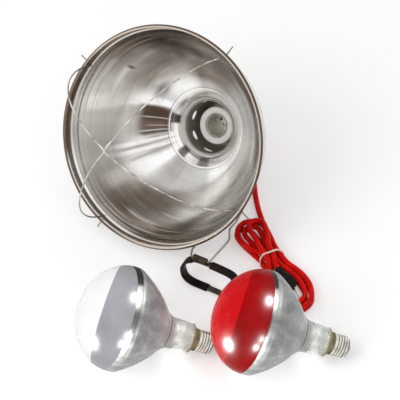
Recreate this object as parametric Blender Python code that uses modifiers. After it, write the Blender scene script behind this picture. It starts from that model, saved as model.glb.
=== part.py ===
"""Brooder heat lamp: a spun reflector with a guarded mouth, a bail with a squeeze clamp, a tied cord, two bulbs."""

import math

import bmesh
import bpy
from mathutils import Matrix, Vector

MM = 0.001

# Fits and wall thicknesses
gap = 0.3 * MM
cord_gap = 0.4 * MM
bowl_wall = 0.9 * MM
cup_wall = 0.8 * MM
shell_wall = 0.35 * MM
glass_wall = 0.8 * MM
strap_wall = 1.2 * MM

# Where the lamp lies: heading of its mouth, and the turn of the bail hinge about its axis
mouth_heading = math.radians(-126.3)
hinge_roll = math.radians(52.1)
rim_x = -45.4 * MM
rim_y = -5.4 * MM

# Reflector
rim_radius = 134.2 * MM
bead_radius = 2.3 * MM
bowl_depth = 122.0 * MM
lip_length = 9.0 * MM
lip_depth = bowl_depth + lip_length
lip_radius = 33.8 * MM
band_hole_depth = 8.4 * MM
bowl_shares = (
    (0.039, 0.976), (0.098, 0.970), (0.113, 0.952), (0.205, 0.928), (0.303, 0.890),
    (0.402, 0.842), (0.492, 0.792), (0.574, 0.737), (0.656, 0.672), (0.730, 0.601),
    (0.787, 0.5335), (0.832, 0.4657), (0.861, 0.4046), (0.879, 0.345), (0.910, 0.2906),
    (0.943, 0.2683), (0.975, 0.2563),
)
bowl_steps = 40

# Socket housing, its vents and the cord hole
cup_overlap = 3.0 * MM
cup_start = bowl_depth - cup_overlap
cup_radius = lip_radius - bowl_wall - gap
cup_corner_shares = ((0.0, 0.77), (0.08, 0.845), (0.5, 0.95), (1.0, 1.0))
cup_corner = 8.0 * MM
vent_past_lip = 6.2 * MM
vent_depth = lip_depth + vent_past_lip
vent_length = 12.0 * MM
vent_width = 8.0 * MM
vents = 8
vent_turn = math.radians(-4)
exit_past_vents = 10.8 * MM
exit_depth = vent_depth + exit_past_vents
exit_turn = math.radians(-80)
exit_hole = 5.3 * MM
rear_hole = 2.2 * MM

# Socket
face_past_lip = 5.0 * MM
face_depth = lip_depth + face_past_lip
flange_length = 8.0 * MM
flange_back = face_depth + flange_length
body_length = 16.0 * MM
body_back = flange_back + body_length
flange_radius = 22.5 * MM
body_radius = 18.0 * MM
bore_radius = 14.4 * MM
floor_thickness = 2.0 * MM
bore_floor = body_back - floor_thickness
rear_room = 4.839 * MM
rear_depth = body_back + rear_room
boss_radius = 8.0 * MM
chamfer = 1.0 * MM
thread_radius = 13.2 * MM
thread_height = 0.5 * MM
thread_pitch = 3.63 * MM
shell_turns = 5
shell_hole = 4.8 * MM
rivet_offset = 7.0 * MM
rivet_radius = 1.7 * MM
rivet_turn = math.radians(98)
tab_width = 4.2 * MM
tab_thickness = 0.5 * MM
tab_rise = 4.0 * MM
screw_head_radius = 4.0 * MM
screw_head_height = 2.2 * MM
terminal_radius = 3.0 * MM
terminal_height = 1.6 * MM
terminal_offset = 13.5 * MM
terminal_turns = (math.radians(-35), math.radians(-125))
conductor_radius = 1.1 * MM

# Guard wires
guard_radius = 0.9 * MM
guard_inset = 7.6 * MM
guard_span = rim_radius - guard_inset
guard_heights = (142.0 * MM, 139.6 * MM)
guard_turns = (math.radians(112.6), math.radians(22.6))
guard_tail = 10.0 * MM
guard_bend = 2.6 * MM

# Collar and bail
collar_past_bowl = 0.6 * MM
collar_start = bowl_depth + collar_past_bowl
collar_length = 8.0 * MM
collar_inside = lip_radius + gap
collar_slot = 3.0 * MM
ear_half = 4.5 * MM
ear_out = 2.9 * MM
tab_out = 11.0 * MM
collar_screw_radius = 1.9 * MM
collar_screw_out = 6.4 * MM
hinge_depth = collar_start + collar_length / 2
bail_radius = 1.25 * MM
bail_end = 34.7 * MM
leg_shift = 41.4 * MM
leg_shares = (
    (0.0, 1.0, 1.0), (0.2757, 0.9281, 0.9903), (0.4471, 0.8215, 0.9541), (0.5999, 0.699, 0.8937),
    (0.7526, 0.5371, 0.8213), (0.8607, 0.3791, 0.7633), (0.9463, 0.2054, 0.7126), (0.9955, 0.0395, 0.6739),
)
bar_inset = 7.3 * MM
crossbar_centre = Vector((0.0, rim_y - rim_radius + bar_inset, 49.0 * MM))
left_knee = crossbar_centre + Vector((-10.3 * MM, 9.7 * MM, -1.5 * MM))
right_knee = crossbar_centre + Vector((35.0 * MM, 19.3 * MM, 13.0 * MM))
crossbar_half = 11.6 * MM
leg_fillet = 9.0 * MM
bar_fillet = 2.4 * MM

# Clamp, in the upright plane of the crossbar: distance along it, then height
clamp_heading = math.radians(-28.1)
strap_thickness = 1.4 * MM
strap_width = 8.0 * MM
window_strap_width = 12.4 * MM
neck_width = 5.0 * MM
window_width = 6.4 * MM
sleeve_wall = 0.9 * MM
clamp_length = 80.0 * MM
clamp_height = 46.4 * MM
upper_shares = (
    (-0.2825, 0.4558), (-0.275, 0.5603), (-0.225, 0.7759), (-0.1375, 0.9224), (-0.0375, 0.9828), (0.1, 1.0),
    (0.3, 1.0), (0.5, 0.9655), (0.58125, 0.8728), (0.64375, 0.6681), (0.6875, 0.5302), (0.75625, 0.4655),
    (0.85, 0.4623), (1.0, 0.4623),
)
lower_shares = (
    (-0.2825, 0.4494), (-0.275, 0.3448), (-0.2375, 0.1724), (-0.15, 0.0733), (-0.0375, 0.0517),
    (0.175, 0.0517), (0.5, 0.0517), (0.58125, 0.1487), (0.64375, 0.3448), (0.6875, 0.4828),
    (0.75625, 0.5474), (0.85, 0.5506), (1.0, 0.5506),
)
squeeze_along = -20.5 * MM
squeeze_height = 21.0 * MM
barrel_half = 8.9 * MM
barrel_width = 8.5 * MM
barrel_height = 6.5 * MM
barrel_bore = 1.65 * MM
arm_sleeve = (62.0 * MM, 92.0 * MM)
upper_bow_sleeve = 28.5 * MM
lower_bow_sleeve = 45.0 * MM
jaw_start = 67.5 * MM

# Cord: the free lead, then the tied hank in its own frame of along, across and layer
cord_radius = 3.25 * MM
layer_rise = 7.2 * MM
cord_rest = 3.35 * MM
waist_lift = 1.9 * MM
waist_reach = 20.0 * MM
relief_out = 57.0 * MM
relief_shares = (
    (0.51, 0.67), (0.577, 0.67), (0.577, 1.0), (0.617, 1.0), (0.621, 0.83), (0.70, 0.80), (0.705, 0.70),
    (0.74, 0.69), (0.745, 0.77), (0.80, 0.74), (0.805, 0.65), (0.84, 0.64), (0.845, 0.71), (1.0, 0.58),
)
relief_radius = 7.0 * MM
lead_route = (
    (60.9, 40.0, 7.7), (63.4, 31.0, 5.2), (64.6, 20.0, 3.9), (65.5, 8.0, 3.4), (67.2, -5.0, 3.35),
    (70.0, -20.0, 3.35), (74.2, -36.0, 3.35), (78.9, -53.0, 3.35),
)
waist_centre = Vector((85.0 * MM, -99.0 * MM, 0.0))
upper_heading = math.radians(-59.7)
lower_heading = math.radians(-65.5)
hank_route = (
    (-27.0, 13.4, 0), (-20.5, 11.9, 0), (0.0, 11.0, 0), (14.0, 13.7, 0), (26.0, 19.0, 0), (40.0, 23.2, 0),
    (57.0, 23.6, 0), (74.7, 16.4, 0), (82.0, -1.25, 0), (74.7, -18.9, 0), (57.0, -26.1, 0),
    (40.0, -25.8, 0), (26.0, -21.0, 0), (14.0, -14.5, 0), (0.0, -11.0, 0), (-20.0, -12.5, 0),
    (-38.0, -15.6, 0), (-52.0, -16.0, 0), (-58.7, -13.2, 0), (-61.5, -6.5, 0), (-58.7, 0.2, 0),
    (-52.0, 3.0, 0), (-36.0, 3.6, 0), (-18.0, 3.5, 0), (0.0, 3.65, 0), (14.0, 5.6, 0), (26.0, 10.8, 0),
    (40.0, 15.1, 0), (57.0, 15.6, 0), (68.9, 10.7, 0), (73.85, -1.25, 0), (68.9, -13.2, 0),
    (57.0, -18.1, 0), (40.0, -17.6, 0), (26.0, -12.6, 0), (14.0, -6.5, 0), (0.0, -3.65, 0),
    (-14.0, -3.9, 0), (-28.0, -6.0, 0.35), (-38.0, -8.6, 0.85), (-46.0, -9.5, 1), (-52.7, -6.7, 1),
    (-55.5, 0.0, 1), (-52.7, 6.7, 1), (-46.0, 9.5, 1), (-32.0, 7.2, 1), (-16.0, 4.3, 1), (0.0, 3.65, 1),
    (14.0, 5.6, 1), (26.0, 10.8, 1), (40.0, 15.1, 1), (57.0, 15.6, 1), (68.9, 10.7, 1), (73.85, -1.25, 1),
    (68.9, -13.2, 1), (57.0, -18.1, 1), (40.0, -17.6, 1), (26.0, -12.6, 1), (14.0, -6.5, 1), (0.0, -3.65, 1),
    (-10.0, -5.6, 1), (-22.0, -12.4, 1), (-34.0, -16.8, 1), (-46.5, -17.3, 1), (-58.6, -12.2, 1),
    (-63.8, 0.0, 1), (-58.6, 12.2, 1), (-46.5, 17.3, 1), (-30.0, 15.4, 1), (-14.0, 12.2, 1),
    (0.0, 11.0, 1), (14.0, 13.7, 1), (26.0, 19.0, 1), (40.0, 23.2, 1), (57.0, 23.6, 1), (74.7, 16.4, 1),
    (82.0, -1.25, 1), (74.7, -18.9, 1), (57.0, -26.1, 1), (46.0, -24.6, 1.5), (36.0, -21.6, 1.95),
    (24.0, -15.0, 2), (12.0, -9.6, 2), (0.0, -7.2, 2), (-16.0, -6.2, 2), (-32.0, -4.2, 2),
    (-46.0, -3.0, 2), (-52.7, -0.2, 2), (-55.5, 6.5, 2), (-52.7, 13.2, 2), (-46.0, 16.0, 2),
    (-30.0, 11.4, 2), (-14.0, 4.2, 2), (0.0, 1.0, 2),
)
hank_steps = 112
tie_band = 1.0 * MM
tie_width = 2.2 * MM
tie_across = (-15.3 * MM, 15.3 * MM)
tie_round = 3.6 * MM

# Plug
plug_heading = math.radians(-63)
plug_dip = math.radians(13)
plug_rear_along = 21.0 * MM
plug_rear_across = -2.0 * MM
plug_rear_height = 16.4 * MM
plug_length = 31.0 * MM
plug_width = 19.0 * MM
plug_height = 15.0 * MM
plug_shares = (
    (0.0, 0.42, 0.5), (0.24, 0.46, 0.56), (0.32, 0.62, 0.72), (0.54, 0.94, 0.94), (0.62, 1.0, 1.0),
    (0.96, 1.0, 1.0), (1.0, 0.93, 0.92),
)
blade_length = 15.9 * MM
blade_width = 6.35 * MM
blade_thickness = 1.5 * MM
blade_spacing = 12.7 * MM

# Bulbs
bulb_radius = 63.5 * MM
dome_height = 53.0 * MM
bulb_back = 99.0 * MM
bulb_shares = (
    (0.0, 1.0), (0.08, 0.9705), (0.2525, 0.758), (0.414, 0.4877), (0.515, 0.2654), (0.606, 0.1487),
    (0.707, 0.1352), (0.838, 0.1216), (0.889, 0.1106), (0.94, 0.0074), (1.0, 0.0),
)
dome_rows = 8
bulb_steps = 24
bulb_tilt = math.radians(24)
base_lap = 4.4 * MM
base_start = bulb_back - base_lap
base_turns = 5
base_radius = 13.0 * MM
neck_clearance = 0.84 * MM
neck_end = base_radius - shell_wall - neck_clearance
base_length = 18.4 * MM
base_end = base_start + base_length
insulator_length = 4.0 * MM
insulator_end = base_end + insulator_length
contact_radius = 4.6 * MM
contact_length = 2.0 * MM
contact_end = insulator_end + contact_length
stem_shares = ((1.0, 1.0), (0.93, 1.0), (0.90, 0.5), (0.72, 0.33), (0.56, 0.2), (0.50, 0.2))
filament_radius = 0.4 * MM
filament_half = 8.0 * MM
bulb_apart = 11.0 * MM
bulb_step = 5.5 * MM
bulb_clear = 41.7 * MM
red_bulb_place = (67.0 * MM, crossbar_centre.y - bulb_radius - bulb_clear)
bulb_rest = 0.2 * MM


def rectangle(width, height):
    x, y = width / 2, height / 2
    return [(-x, -y), (x, -y), (x, y), (-x, y)]


def softened(width, height, corner):
    """A rectangle with its corners cut off."""
    x, y = width / 2, height / 2
    return [
        (-x + corner, -y), (x - corner, -y), (x, -y + corner), (x, y - corner),
        (x - corner, y), (-x + corner, y), (-x, y - corner), (-x, -y + corner),
    ]


def oval(width, height, sides):
    return [
        (width / 2 * math.cos(math.tau * i / sides), height / 2 * math.sin(math.tau * i / sides))
        for i in range(sides)
    ]


def inset(profile, wall):
    """The profile moved to its left-hand side by the wall, point by point."""
    moved = []
    for i, (r, z) in enumerate(profile):
        before = Vector(profile[max(i - 1, 0)])
        after = Vector(profile[min(i + 1, len(profile) - 1)])
        run = (after - before).normalized()
        moved.append((r + run.y * wall, z - run.x * wall))
    return moved


def smooth(route, count):
    """Points spaced evenly along a smooth curve through the route."""
    ends = [2 * route[0] - route[1]] + list(route) + [2 * route[-1] - route[-2]]
    fine = [route[0]]
    for a, b, c, d in zip(ends, ends[1:], ends[2:], ends[3:]):
        for step in range(1, 17):
            t = step / 16
            bend = (2 * a - 5 * b + 4 * c - d) * t**2 + (3 * b - a - 3 * c + d) * t**3
            fine.append(0.5 * (2 * b + (c - a) * t + bend))
    return spaced(fine, count)


def spaced(fine, count):
    lengths = [0.0]
    for a, b in zip(fine, fine[1:]):
        lengths.append(lengths[-1] + (b - a).length)
    points = []
    i = 0
    for k in range(count):
        at = lengths[-1] * k / (count - 1)
        while i < len(fine) - 2 and lengths[i + 1] < at:
            i += 1
        share = (at - lengths[i]) / max(lengths[i + 1] - lengths[i], 1e-12)
        points.append(fine[i].lerp(fine[i + 1], min(share, 1.0)))
    return points


def filleted(points, radii, steps=4):
    """A polyline with each inner corner turned into an arc."""
    result = [points[0]]
    for before, corner, after, radius in zip(points, points[1:], points[2:], radii):
        into = (before - corner).normalized()
        out = (after - corner).normalized()
        half = into.angle(out) / 2
        room = min((before - corner).length, (after - corner).length) * 0.45
        reach = min(radius / math.tan(half), room)
        centre = corner + (into + out).normalized() * (reach / math.cos(half))
        start = corner + into * reach - centre
        end = corner + out * reach - centre
        for k in range(steps + 1):
            turn = Matrix.Rotation(start.angle(end) * k / steps, 3, start.cross(end).normalized())
            result.append(centre + turn @ start)
    result.append(points[-1])
    return result


def length_of(points):
    return sum((b - a).length for a, b in zip(points, points[1:]))


def collection(name, hidden=False):
    made = bpy.data.collections.new(name)
    made.hide_render = hidden
    bpy.context.scene.collection.children.link(made)
    return made


def material(name, colour, metallic, roughness, transmission=0.0):
    made = bpy.data.materials.new(name)
    made.use_nodes = True
    shader = made.node_tree.nodes["Principled BSDF"]
    shader.inputs["Base Color"].default_value = (*colour, 1.0)
    shader.inputs["Metallic"].default_value = metallic
    shader.inputs["Roughness"].default_value = roughness
    shader.inputs["Transmission Weight"].default_value = transmission
    return made


LOOKS = {
    "aluminium": ((0.78, 0.77, 0.74), 1.0, 0.22),
    "steel": ((0.60, 0.58, 0.54), 1.0, 0.3),
    "dark_steel": ((0.24, 0.20, 0.16), 1.0, 0.42),
    "brass": ((0.62, 0.50, 0.28), 1.0, 0.35),
    "porcelain": ((0.82, 0.80, 0.77), 0.0, 0.3),
    "vinyl": ((0.015, 0.015, 0.017), 0.0, 0.35),
    "red_cord": ((0.62, 0.012, 0.014), 0.0, 0.35),
    "tie": ((0.86, 0.66, 0.58), 0.0, 0.6),
    "red_glass": ((0.50, 0.0, 0.01), 0.0, 0.08, 0.2),
    "frosted_glass": ((0.80, 0.81, 0.80), 0.0, 0.25, 0.3),
    "clear_glass": ((0.90, 0.90, 0.88), 0.0, 0.05, 0.9),
    "black_glass": ((0.02, 0.02, 0.02), 0.0, 0.2),
}


def finish(obj, look, frame, parent):
    """Gives the object its own material and its place under the body that carries it."""
    obj.data.materials.append(material(obj.name + "_" + look, *LOOKS[look]))
    PARTS.objects.link(obj)
    obj.parent = parent
    obj.matrix_parent_inverse = parent.matrix_world.inverted()
    obj.matrix_world = frame
    return obj


def mesh_object(name, vertices, faces):
    mesh = bpy.data.meshes.new(name)
    mesh.from_pydata([tuple(v) for v in vertices], [], faces)
    work = bmesh.new()
    work.from_mesh(mesh)
    bmesh.ops.recalc_face_normals(work, faces=work.faces)
    work.to_mesh(mesh)
    work.free()
    return bpy.data.objects.new(name, mesh)


def turned(name, profile, steps, closed):
    """A profile of (radius, height) turned about the vertical axis, from the top down its outer side."""
    mesh = bpy.data.meshes.new(name)
    edges = [(i, i + 1) for i in range(len(profile) - 1)]
    if closed:
        edges.append((len(profile) - 1, 0))
    mesh.from_pydata([(r, 0, z) for r, z in profile], edges, [])
    obj = bpy.data.objects.new(name, mesh)
    screw = obj.modifiers.new("turn", "SCREW")
    screw.steps = screw.render_steps = steps
    screw.use_merge_vertices = True
    screw.merge_threshold = 1e-5
    screw.use_smooth_shade = False
    return obj


def swept(name, path, side, outer, inner=(), closed=False, widths=None):
    """A section carried along a path: its first axis stays on the side direction."""
    vertices, faces = [], []
    rounds = [outer, inner] if inner else [outer]
    count, corners = len(path), len(outer)
    for i, point in enumerate(path):
        ahead = path[(i + 1) % count] if closed else path[min(i + 1, count - 1)]
        behind = path[i - 1] if closed else path[max(i - 1, 0)]
        through = (ahead - behind).normalized().cross(side).normalized()
        scale = widths[i] if widths else 1.0
        for section in rounds:
            vertices += [point + side * (x * scale) + through * y for x, y in section]
    stride = corners * len(rounds)
    for i in range(count if closed else count - 1):
        j = (i + 1) % count
        for part in range(len(rounds)):
            for k in range(corners):
                a, b = part * corners + k, part * corners + (k + 1) % corners
                faces.append((i * stride + a, i * stride + b, j * stride + b, j * stride + a))
    for i in () if closed else (0, count - 1):
        start = i * stride
        if inner:
            for k in range(corners):
                n = (k + 1) % corners
                faces.append((start + k, start + n, start + corners + n, start + corners + k))
        else:
            faces.append(tuple(start + k for k in range(corners)))
    return mesh_object(name, vertices, faces)


def wire(name, points, radius, resolution=1):
    curve = bpy.data.curves.new(name, "CURVE")
    curve.dimensions = "3D"
    curve.bevel_depth = radius
    curve.bevel_resolution = resolution
    curve.use_fill_caps = True
    spline = curve.splines.new("POLY")
    spline.points.add(len(points) - 1)
    for point, place in zip(spline.points, points):
        point.co = (*place, 1.0)
    return bpy.data.objects.new(name, curve)


def flat(name, outline, thickness):
    """A flat outline in the object's own ground plane, grown half the thickness both ways."""
    curve = bpy.data.curves.new(name, "CURVE")
    curve.dimensions = "2D"
    curve.fill_mode = "BOTH"
    curve.extrude = thickness / 2
    spline = curve.splines.new("POLY")
    spline.points.add(len(outline) - 1)
    for point, (x, y) in zip(spline.points, outline):
        point.co = (x, y, 0.0, 1.0)
    spline.use_cyclic_u = True
    return bpy.data.objects.new(name, curve)


def solidified(obj):
    """The curve object as a mesh object with its caps joined to its sides."""
    CUTTERS.objects.link(obj)
    bpy.context.view_layer.update()
    graph = bpy.context.evaluated_depsgraph_get()
    mesh = bpy.data.meshes.new_from_object(obj.evaluated_get(graph))
    name = obj.name
    curve = obj.data
    bpy.data.objects.remove(obj)
    bpy.data.curves.remove(curve)
    work = bmesh.new()
    work.from_mesh(mesh)
    bmesh.ops.remove_doubles(work, verts=work.verts, dist=1e-6)
    bmesh.ops.recalc_face_normals(work, faces=work.faces)
    work.to_mesh(mesh)
    work.free()
    mesh.name = name
    return bpy.data.objects.new(name, mesh)


def rod(name, start, end, radius, sides=12):
    """A straight round rod between two points of the object's own space."""
    run = end - start
    side = run.orthogonal().normalized()
    return swept(name, [start, end], side, oval(2 * radius, 2 * radius, sides))


def boolean(obj, cutter, operation, frame):
    CUTTERS.objects.link(cutter)
    cutter.parent = ROOT_EMPTY
    cutter.matrix_world = frame
    cutter.hide_render = True
    cutter.display_type = "WIRE"
    change = obj.modifiers.new(cutter.name, "BOOLEAN")
    change.operation = operation
    change.solver = "EXACT"
    change.object = cutter
    return obj


def merged(name, cutters):
    """Several closed cutters as one mesh object."""
    work = bmesh.new()
    for cutter in cutters:
        work.from_mesh(cutter.data)
        mesh = cutter.data
        bpy.data.objects.remove(cutter)
        bpy.data.meshes.remove(mesh)
    mesh = bpy.data.meshes.new(name)
    work.to_mesh(mesh)
    work.free()
    return bpy.data.objects.new(name, mesh)


def empty(name, place, parent):
    made = bpy.data.objects.new(name, None)
    PARTS.objects.link(made)
    made.empty_display_size = bead_radius
    made.parent = parent
    made.matrix_world = Matrix.Translation(place)
    bpy.context.view_layer.update()
    return made


def resting_tilt():
    """The tilt of the mouth at which both the bowl's side and the housing's rear corner are on the floor."""
    corner = [(r * cup_radius, rear_depth - d * cup_corner) for d, r in cup_corner_shares]
    bowl = [(r, -z) for r, z in bowl_outside()]
    low, high = 0.0, math.pi / 2
    for _ in range(50):
        tilt = (low + high) / 2
        if max(reach(r, d, tilt) for r, d in corner) > max(reach(r, d, tilt) for r, d in bowl):
            high = tilt
        else:
            low = tilt
    return tilt


def lamp_frame():
    """From the rim's centre: along the bail hinge, away from the bail, then out of the mouth."""
    tilt = resting_tilt()
    print("tilt", round(math.degrees(tilt), 4))
    mouth = Vector((
        math.cos(tilt) * math.cos(mouth_heading),
        math.cos(tilt) * math.sin(mouth_heading),
        math.sin(tilt),
    ))
    level = Vector((0, 0, 1)).cross(mouth).normalized()
    across = level * math.cos(hinge_roll) + mouth.cross(level) * math.sin(hinge_roll)
    turn = Matrix((across, mouth.cross(across), mouth)).transposed().to_4x4()
    height = max(reach(r, -z, tilt) for r, z in bowl_outside())
    return Matrix.Translation((rim_x, rim_y, height)) @ turn


def reach(radius, depth, tilt):
    """How far below the rim's centre a point of the lamp reaches at its lowest."""
    return depth * math.sin(tilt) + radius * math.cos(tilt)


def bowl_outside():
    """The bowl's outer side from under the bead to the end of the neck lip, as (radius, height)."""
    side = [(r * rim_radius, -d * bowl_depth) for d, r in bowl_shares]
    return side + [(lip_radius, -bowl_depth), (lip_radius, -lip_depth)]


def around(radius, turn, depth):
    return Vector((radius * math.cos(turn), radius * math.sin(turn), -depth))


def reflector():
    bead_centre = rim_radius - bead_radius
    bead = [
        (bead_centre + bead_radius * math.cos(a), -bead_radius - bead_radius * math.sin(a))
        for a in map(math.radians, (-180, -135, -95, -60, -20, 20, 60))
    ]
    outside = bowl_outside()
    inside = inset(outside[:1] + outside[1:], bowl_wall)
    inside = [p for i, p in enumerate(inside) if i not in (2, 13)]
    obj = turned("reflector", bead + outside + inside[::-1], bowl_steps, True)
    holes = []
    for turn in guard_turns:
        for side in (0, math.pi):
            start = around(guard_span, turn + side, band_hole_depth)
            end = around(rim_radius + guard_tail, turn + side, band_hole_depth)
            holes.append(rod("hole", start, end, guard_radius + gap, 8))
    boolean(obj, merged("band_holes", holes), "DIFFERENCE", LAMP)
    return finish(obj, "aluminium", LAMP, ROOT)


def socket_housing():
    back = rear_depth
    corner = [(r * cup_radius, -back + d * cup_corner) for d, r in cup_corner_shares[::-1]]
    outside = [(cup_radius, -cup_start)] + corner + [(rear_hole, -back)]
    inside = inset(outside, cup_wall)
    inside[-1] = (rear_hole, -back + cup_wall)
    inside[0] = (cup_radius - cup_wall, -cup_start)
    obj = turned("socket_housing", outside + inside[::-1], 36, True)
    cutters = []
    reach_out = cup_radius * 1.3
    for i in range(vents):
        turn = vent_turn + math.tau * i / vents
        start = around(cup_radius * 0.8, turn, vent_depth)
        end = around(reach_out, turn, vent_depth)
        cutters.append(swept("vent", [start, end], Vector((0, 0, 1)), oval(vent_width, vent_length, 12)))
    start = around(cup_radius * 0.8, exit_turn, exit_depth)
    cutters.append(rod("exit", start, around(reach_out, exit_turn, exit_depth), exit_hole, 16))
    boolean(obj, merged("housing_holes", cutters), "DIFFERENCE", LAMP)
    return finish(obj, "dark_steel", LAMP, ROOT)


def socket_porcelain():
    boss_back = rear_depth - cup_wall - gap
    pilot = boss_back - (boss_back - bore_floor) * 0.75
    profile = [
        (0, -bore_floor), (bore_radius, -bore_floor), (bore_radius, -face_depth - chamfer),
        (bore_radius + chamfer, -face_depth), (flange_radius - chamfer, -face_depth),
        (flange_radius, -face_depth - chamfer), (flange_radius, -flange_back),
        (body_radius, -flange_back - chamfer), (body_radius, -body_back), (boss_radius, -body_back),
        (boss_radius, -boss_back), (rear_hole, -boss_back), (rear_hole, -pilot), (0, -pilot),
    ]
    return finish(turned("socket_porcelain", profile, 28, False), "porcelain", LAMP, ROOT)


def zigzag(radius, height, start, pitch, turns):
    """The outer side of a rolled screw thread, from the top down."""
    rows = range(2 * turns + 1)
    return [(radius + (height if i % 2 else 0.0), -start - i * pitch / 2) for i in rows]


def screw_shell():
    end = bore_floor - gap
    start = end - thread_pitch * (shell_turns + 0.5)
    outside = [(thread_radius, -start)]
    outside += zigzag(thread_radius, thread_height, start + thread_pitch / 4, thread_pitch, shell_turns)
    outside += [(thread_radius, -end), (shell_hole, -end)]
    inside = [(r - shell_wall, z) for r, z in outside[:-2]]
    inside += [(thread_radius - shell_wall, -end + shell_wall), (shell_hole, -end + shell_wall)]
    return finish(turned("screw_shell", outside + inside[::-1], 20, True), "brass", LAMP, ROOT)


def shell_rivet(name, turn):
    seat = bore_floor - gap - shell_wall - gap
    profile = [(0, rivet_radius * 0.6), (rivet_radius * 0.7, rivet_radius * 0.45), (rivet_radius, 0), (0, 0)]
    place = Matrix.Translation(around(rivet_offset, turn, seat))
    return finish(turned(name, profile, 10, False), "dark_steel", LAMP @ place, ROOT)


def centre_contact():
    floor = -bore_floor + gap
    half = shell_hole * 0.8
    path = [
        Vector((-half, 0, floor + tab_thickness / 2)), Vector((-half * 0.4, 0, floor + tab_thickness / 2)),
        Vector((0, 0, floor + tab_rise * 0.6)), Vector((half * 0.5, 0, floor + tab_rise)),
        Vector((half * 0.9, 0, floor + tab_rise * 0.9)),
    ]
    obj = swept("centre_contact", path, Vector((0, 1, 0)), rectangle(tab_width, tab_thickness))
    return finish(obj, "brass", LAMP, ROOT)


def mounting_screw():
    back = rear_depth + gap
    shank = rear_hole - gap
    tip = back - gap - cup_wall - gap - (rear_depth - cup_wall - gap - bore_floor) * 0.6
    profile = [
        (0, -tip), (shank, -tip), (shank, -back), (screw_head_radius, -back),
        (screw_head_radius, -back - screw_head_height * 0.5),
        (screw_head_radius * 0.7, -back - screw_head_height), (0, -back - screw_head_height),
    ]
    return finish(turned("mounting_screw", profile, 16, False), "steel", LAMP, ROOT)


def terminal_screw(name, turn):
    profile = [
        (0, 0), (terminal_radius * 0.8, 0), (terminal_radius, -terminal_height * 0.3),
        (terminal_radius, -terminal_height), (0, -terminal_height),
    ]
    place = Matrix.Translation(around(terminal_offset, turn, body_back + gap))
    return finish(turned(name, profile, 12, False), "brass", LAMP @ place, ROOT)


def conductor(name, turn, step):
    """A wire inside the housing, from the cord's entry to the side of its terminal screw."""
    depth = body_back + gap + terminal_height / 2
    inner = relief_out * relief_shares[0][0] - gap
    side = around(step * conductor_radius * 1.3, exit_turn + math.pi / 2, 0)
    terminal_edge = terminal_offset + terminal_radius
    route = [
        around(inner, exit_turn, exit_depth) + side,
        around(inner - conductor_radius * 2, exit_turn, exit_depth) + side,
        around(body_radius * 1.3, exit_turn + (turn - exit_turn) * 0.5, exit_depth + conductor_radius * 6),
        around(terminal_edge + conductor_radius * 4, turn, depth - conductor_radius * 0.4),
        around(terminal_edge + conductor_radius * 2, turn, depth),
        around(terminal_edge + gap, turn, depth),
    ]
    return finish(wire(name, smooth(route, 14), conductor_radius), "red_cord", LAMP, ROOT)


def guard_wire(name, turn, height):
    across = around(guard_span, turn, 0).normalized()
    up = Vector((0, 0, 1))
    rows = 17
    arch = []
    for i in range(rows):
        angle = math.pi * i / (rows - 1)
        arch.append(across * (guard_span * math.cos(angle)) + up * (height * math.sin(angle)))
    hook = [
        across * (rim_radius + guard_tail) - up * band_hole_depth,
        across * (guard_span + guard_bend) - up * band_hole_depth,
        across * (guard_span + guard_bend * 0.3) - up * (band_hole_depth - guard_bend * 0.35),
        across * guard_span - up * (band_hole_depth - guard_bend),
    ]
    away = [Vector((-p.x, -p.y, p.z)) for p in hook]
    return finish(wire(name, hook + arch + away[::-1], guard_radius), "steel", LAMP, ROOT)


def pivot_collar():
    """A split band round the neck, with an ear on each side for the bail and two tabs for its screw."""
    inside, outside = collar_inside, collar_inside + strap_wall
    ear = outside + ear_out
    half_ear = math.asin(ear_half / outside)
    half_slot = math.asin(collar_slot / 2 / inside)
    half_tab = math.asin((collar_slot / 2 + strap_wall) / outside)
    centre = math.pi / 2
    outline = [(collar_slot / 2, inside + tab_out), (collar_slot / 2 + strap_wall, inside + tab_out)]
    turn = centre - half_tab
    outline.append((outside * math.cos(turn), outside * math.sin(turn)))
    for middle in (0.0, -math.pi):
        start = turn
        stop = middle + half_ear
        steps = 7
        for k in range(1, steps + 1):
            at = start + (stop - start) * k / steps
            outline.append((outside * math.cos(at), outside * math.sin(at)))
        for y in (ear_half, -ear_half) if middle == 0.0 else (-ear_half, ear_half):
            outline.append((math.copysign(ear, math.cos(middle)), y))
        turn = middle - half_ear
        outline.append((outside * math.cos(turn), outside * math.sin(turn)))
    last = centre + half_tab - math.tau
    for k in range(1, 8):
        at = turn + (last - turn) * k / 7
        outline.append((outside * math.cos(at), outside * math.sin(at)))
    outline += [(-collar_slot / 2 - strap_wall, inside + tab_out), (-collar_slot / 2, inside + tab_out)]
    start, stop = centre + half_slot, centre - half_slot + math.tau
    for k in range(33):
        at = start + (stop - start) * k / 32
        outline.append((inside * math.cos(at), inside * math.sin(at)))
    middle = Matrix.Translation((0, 0, -collar_start - collar_length / 2))
    obj = solidified(flat("pivot_collar", outline[::-1], collar_length))
    depth = Vector((0, 0, -(hinge_depth - collar_start - collar_length / 2)))
    near, far = Vector((inside - strap_wall, 0, 0)), Vector((ear + strap_wall, 0, 0))
    cutters = [
        rod("ear_hole", depth + near * s, depth + far * s, bail_radius + 1.5 * gap, 12)
        for s in (-1, 1)
    ]
    tab = Vector((0, inside + collar_screw_out, 0))
    across = Vector((collar_slot / 2 + strap_wall * 2, 0, 0))
    cutters.append(rod("tab_hole", tab - across, tab + across, collar_screw_radius + gap, 10))
    boolean(obj, merged("collar_holes", cutters), "DIFFERENCE", LAMP @ middle)
    return finish(obj, "steel", LAMP @ middle, ROOT)


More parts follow.
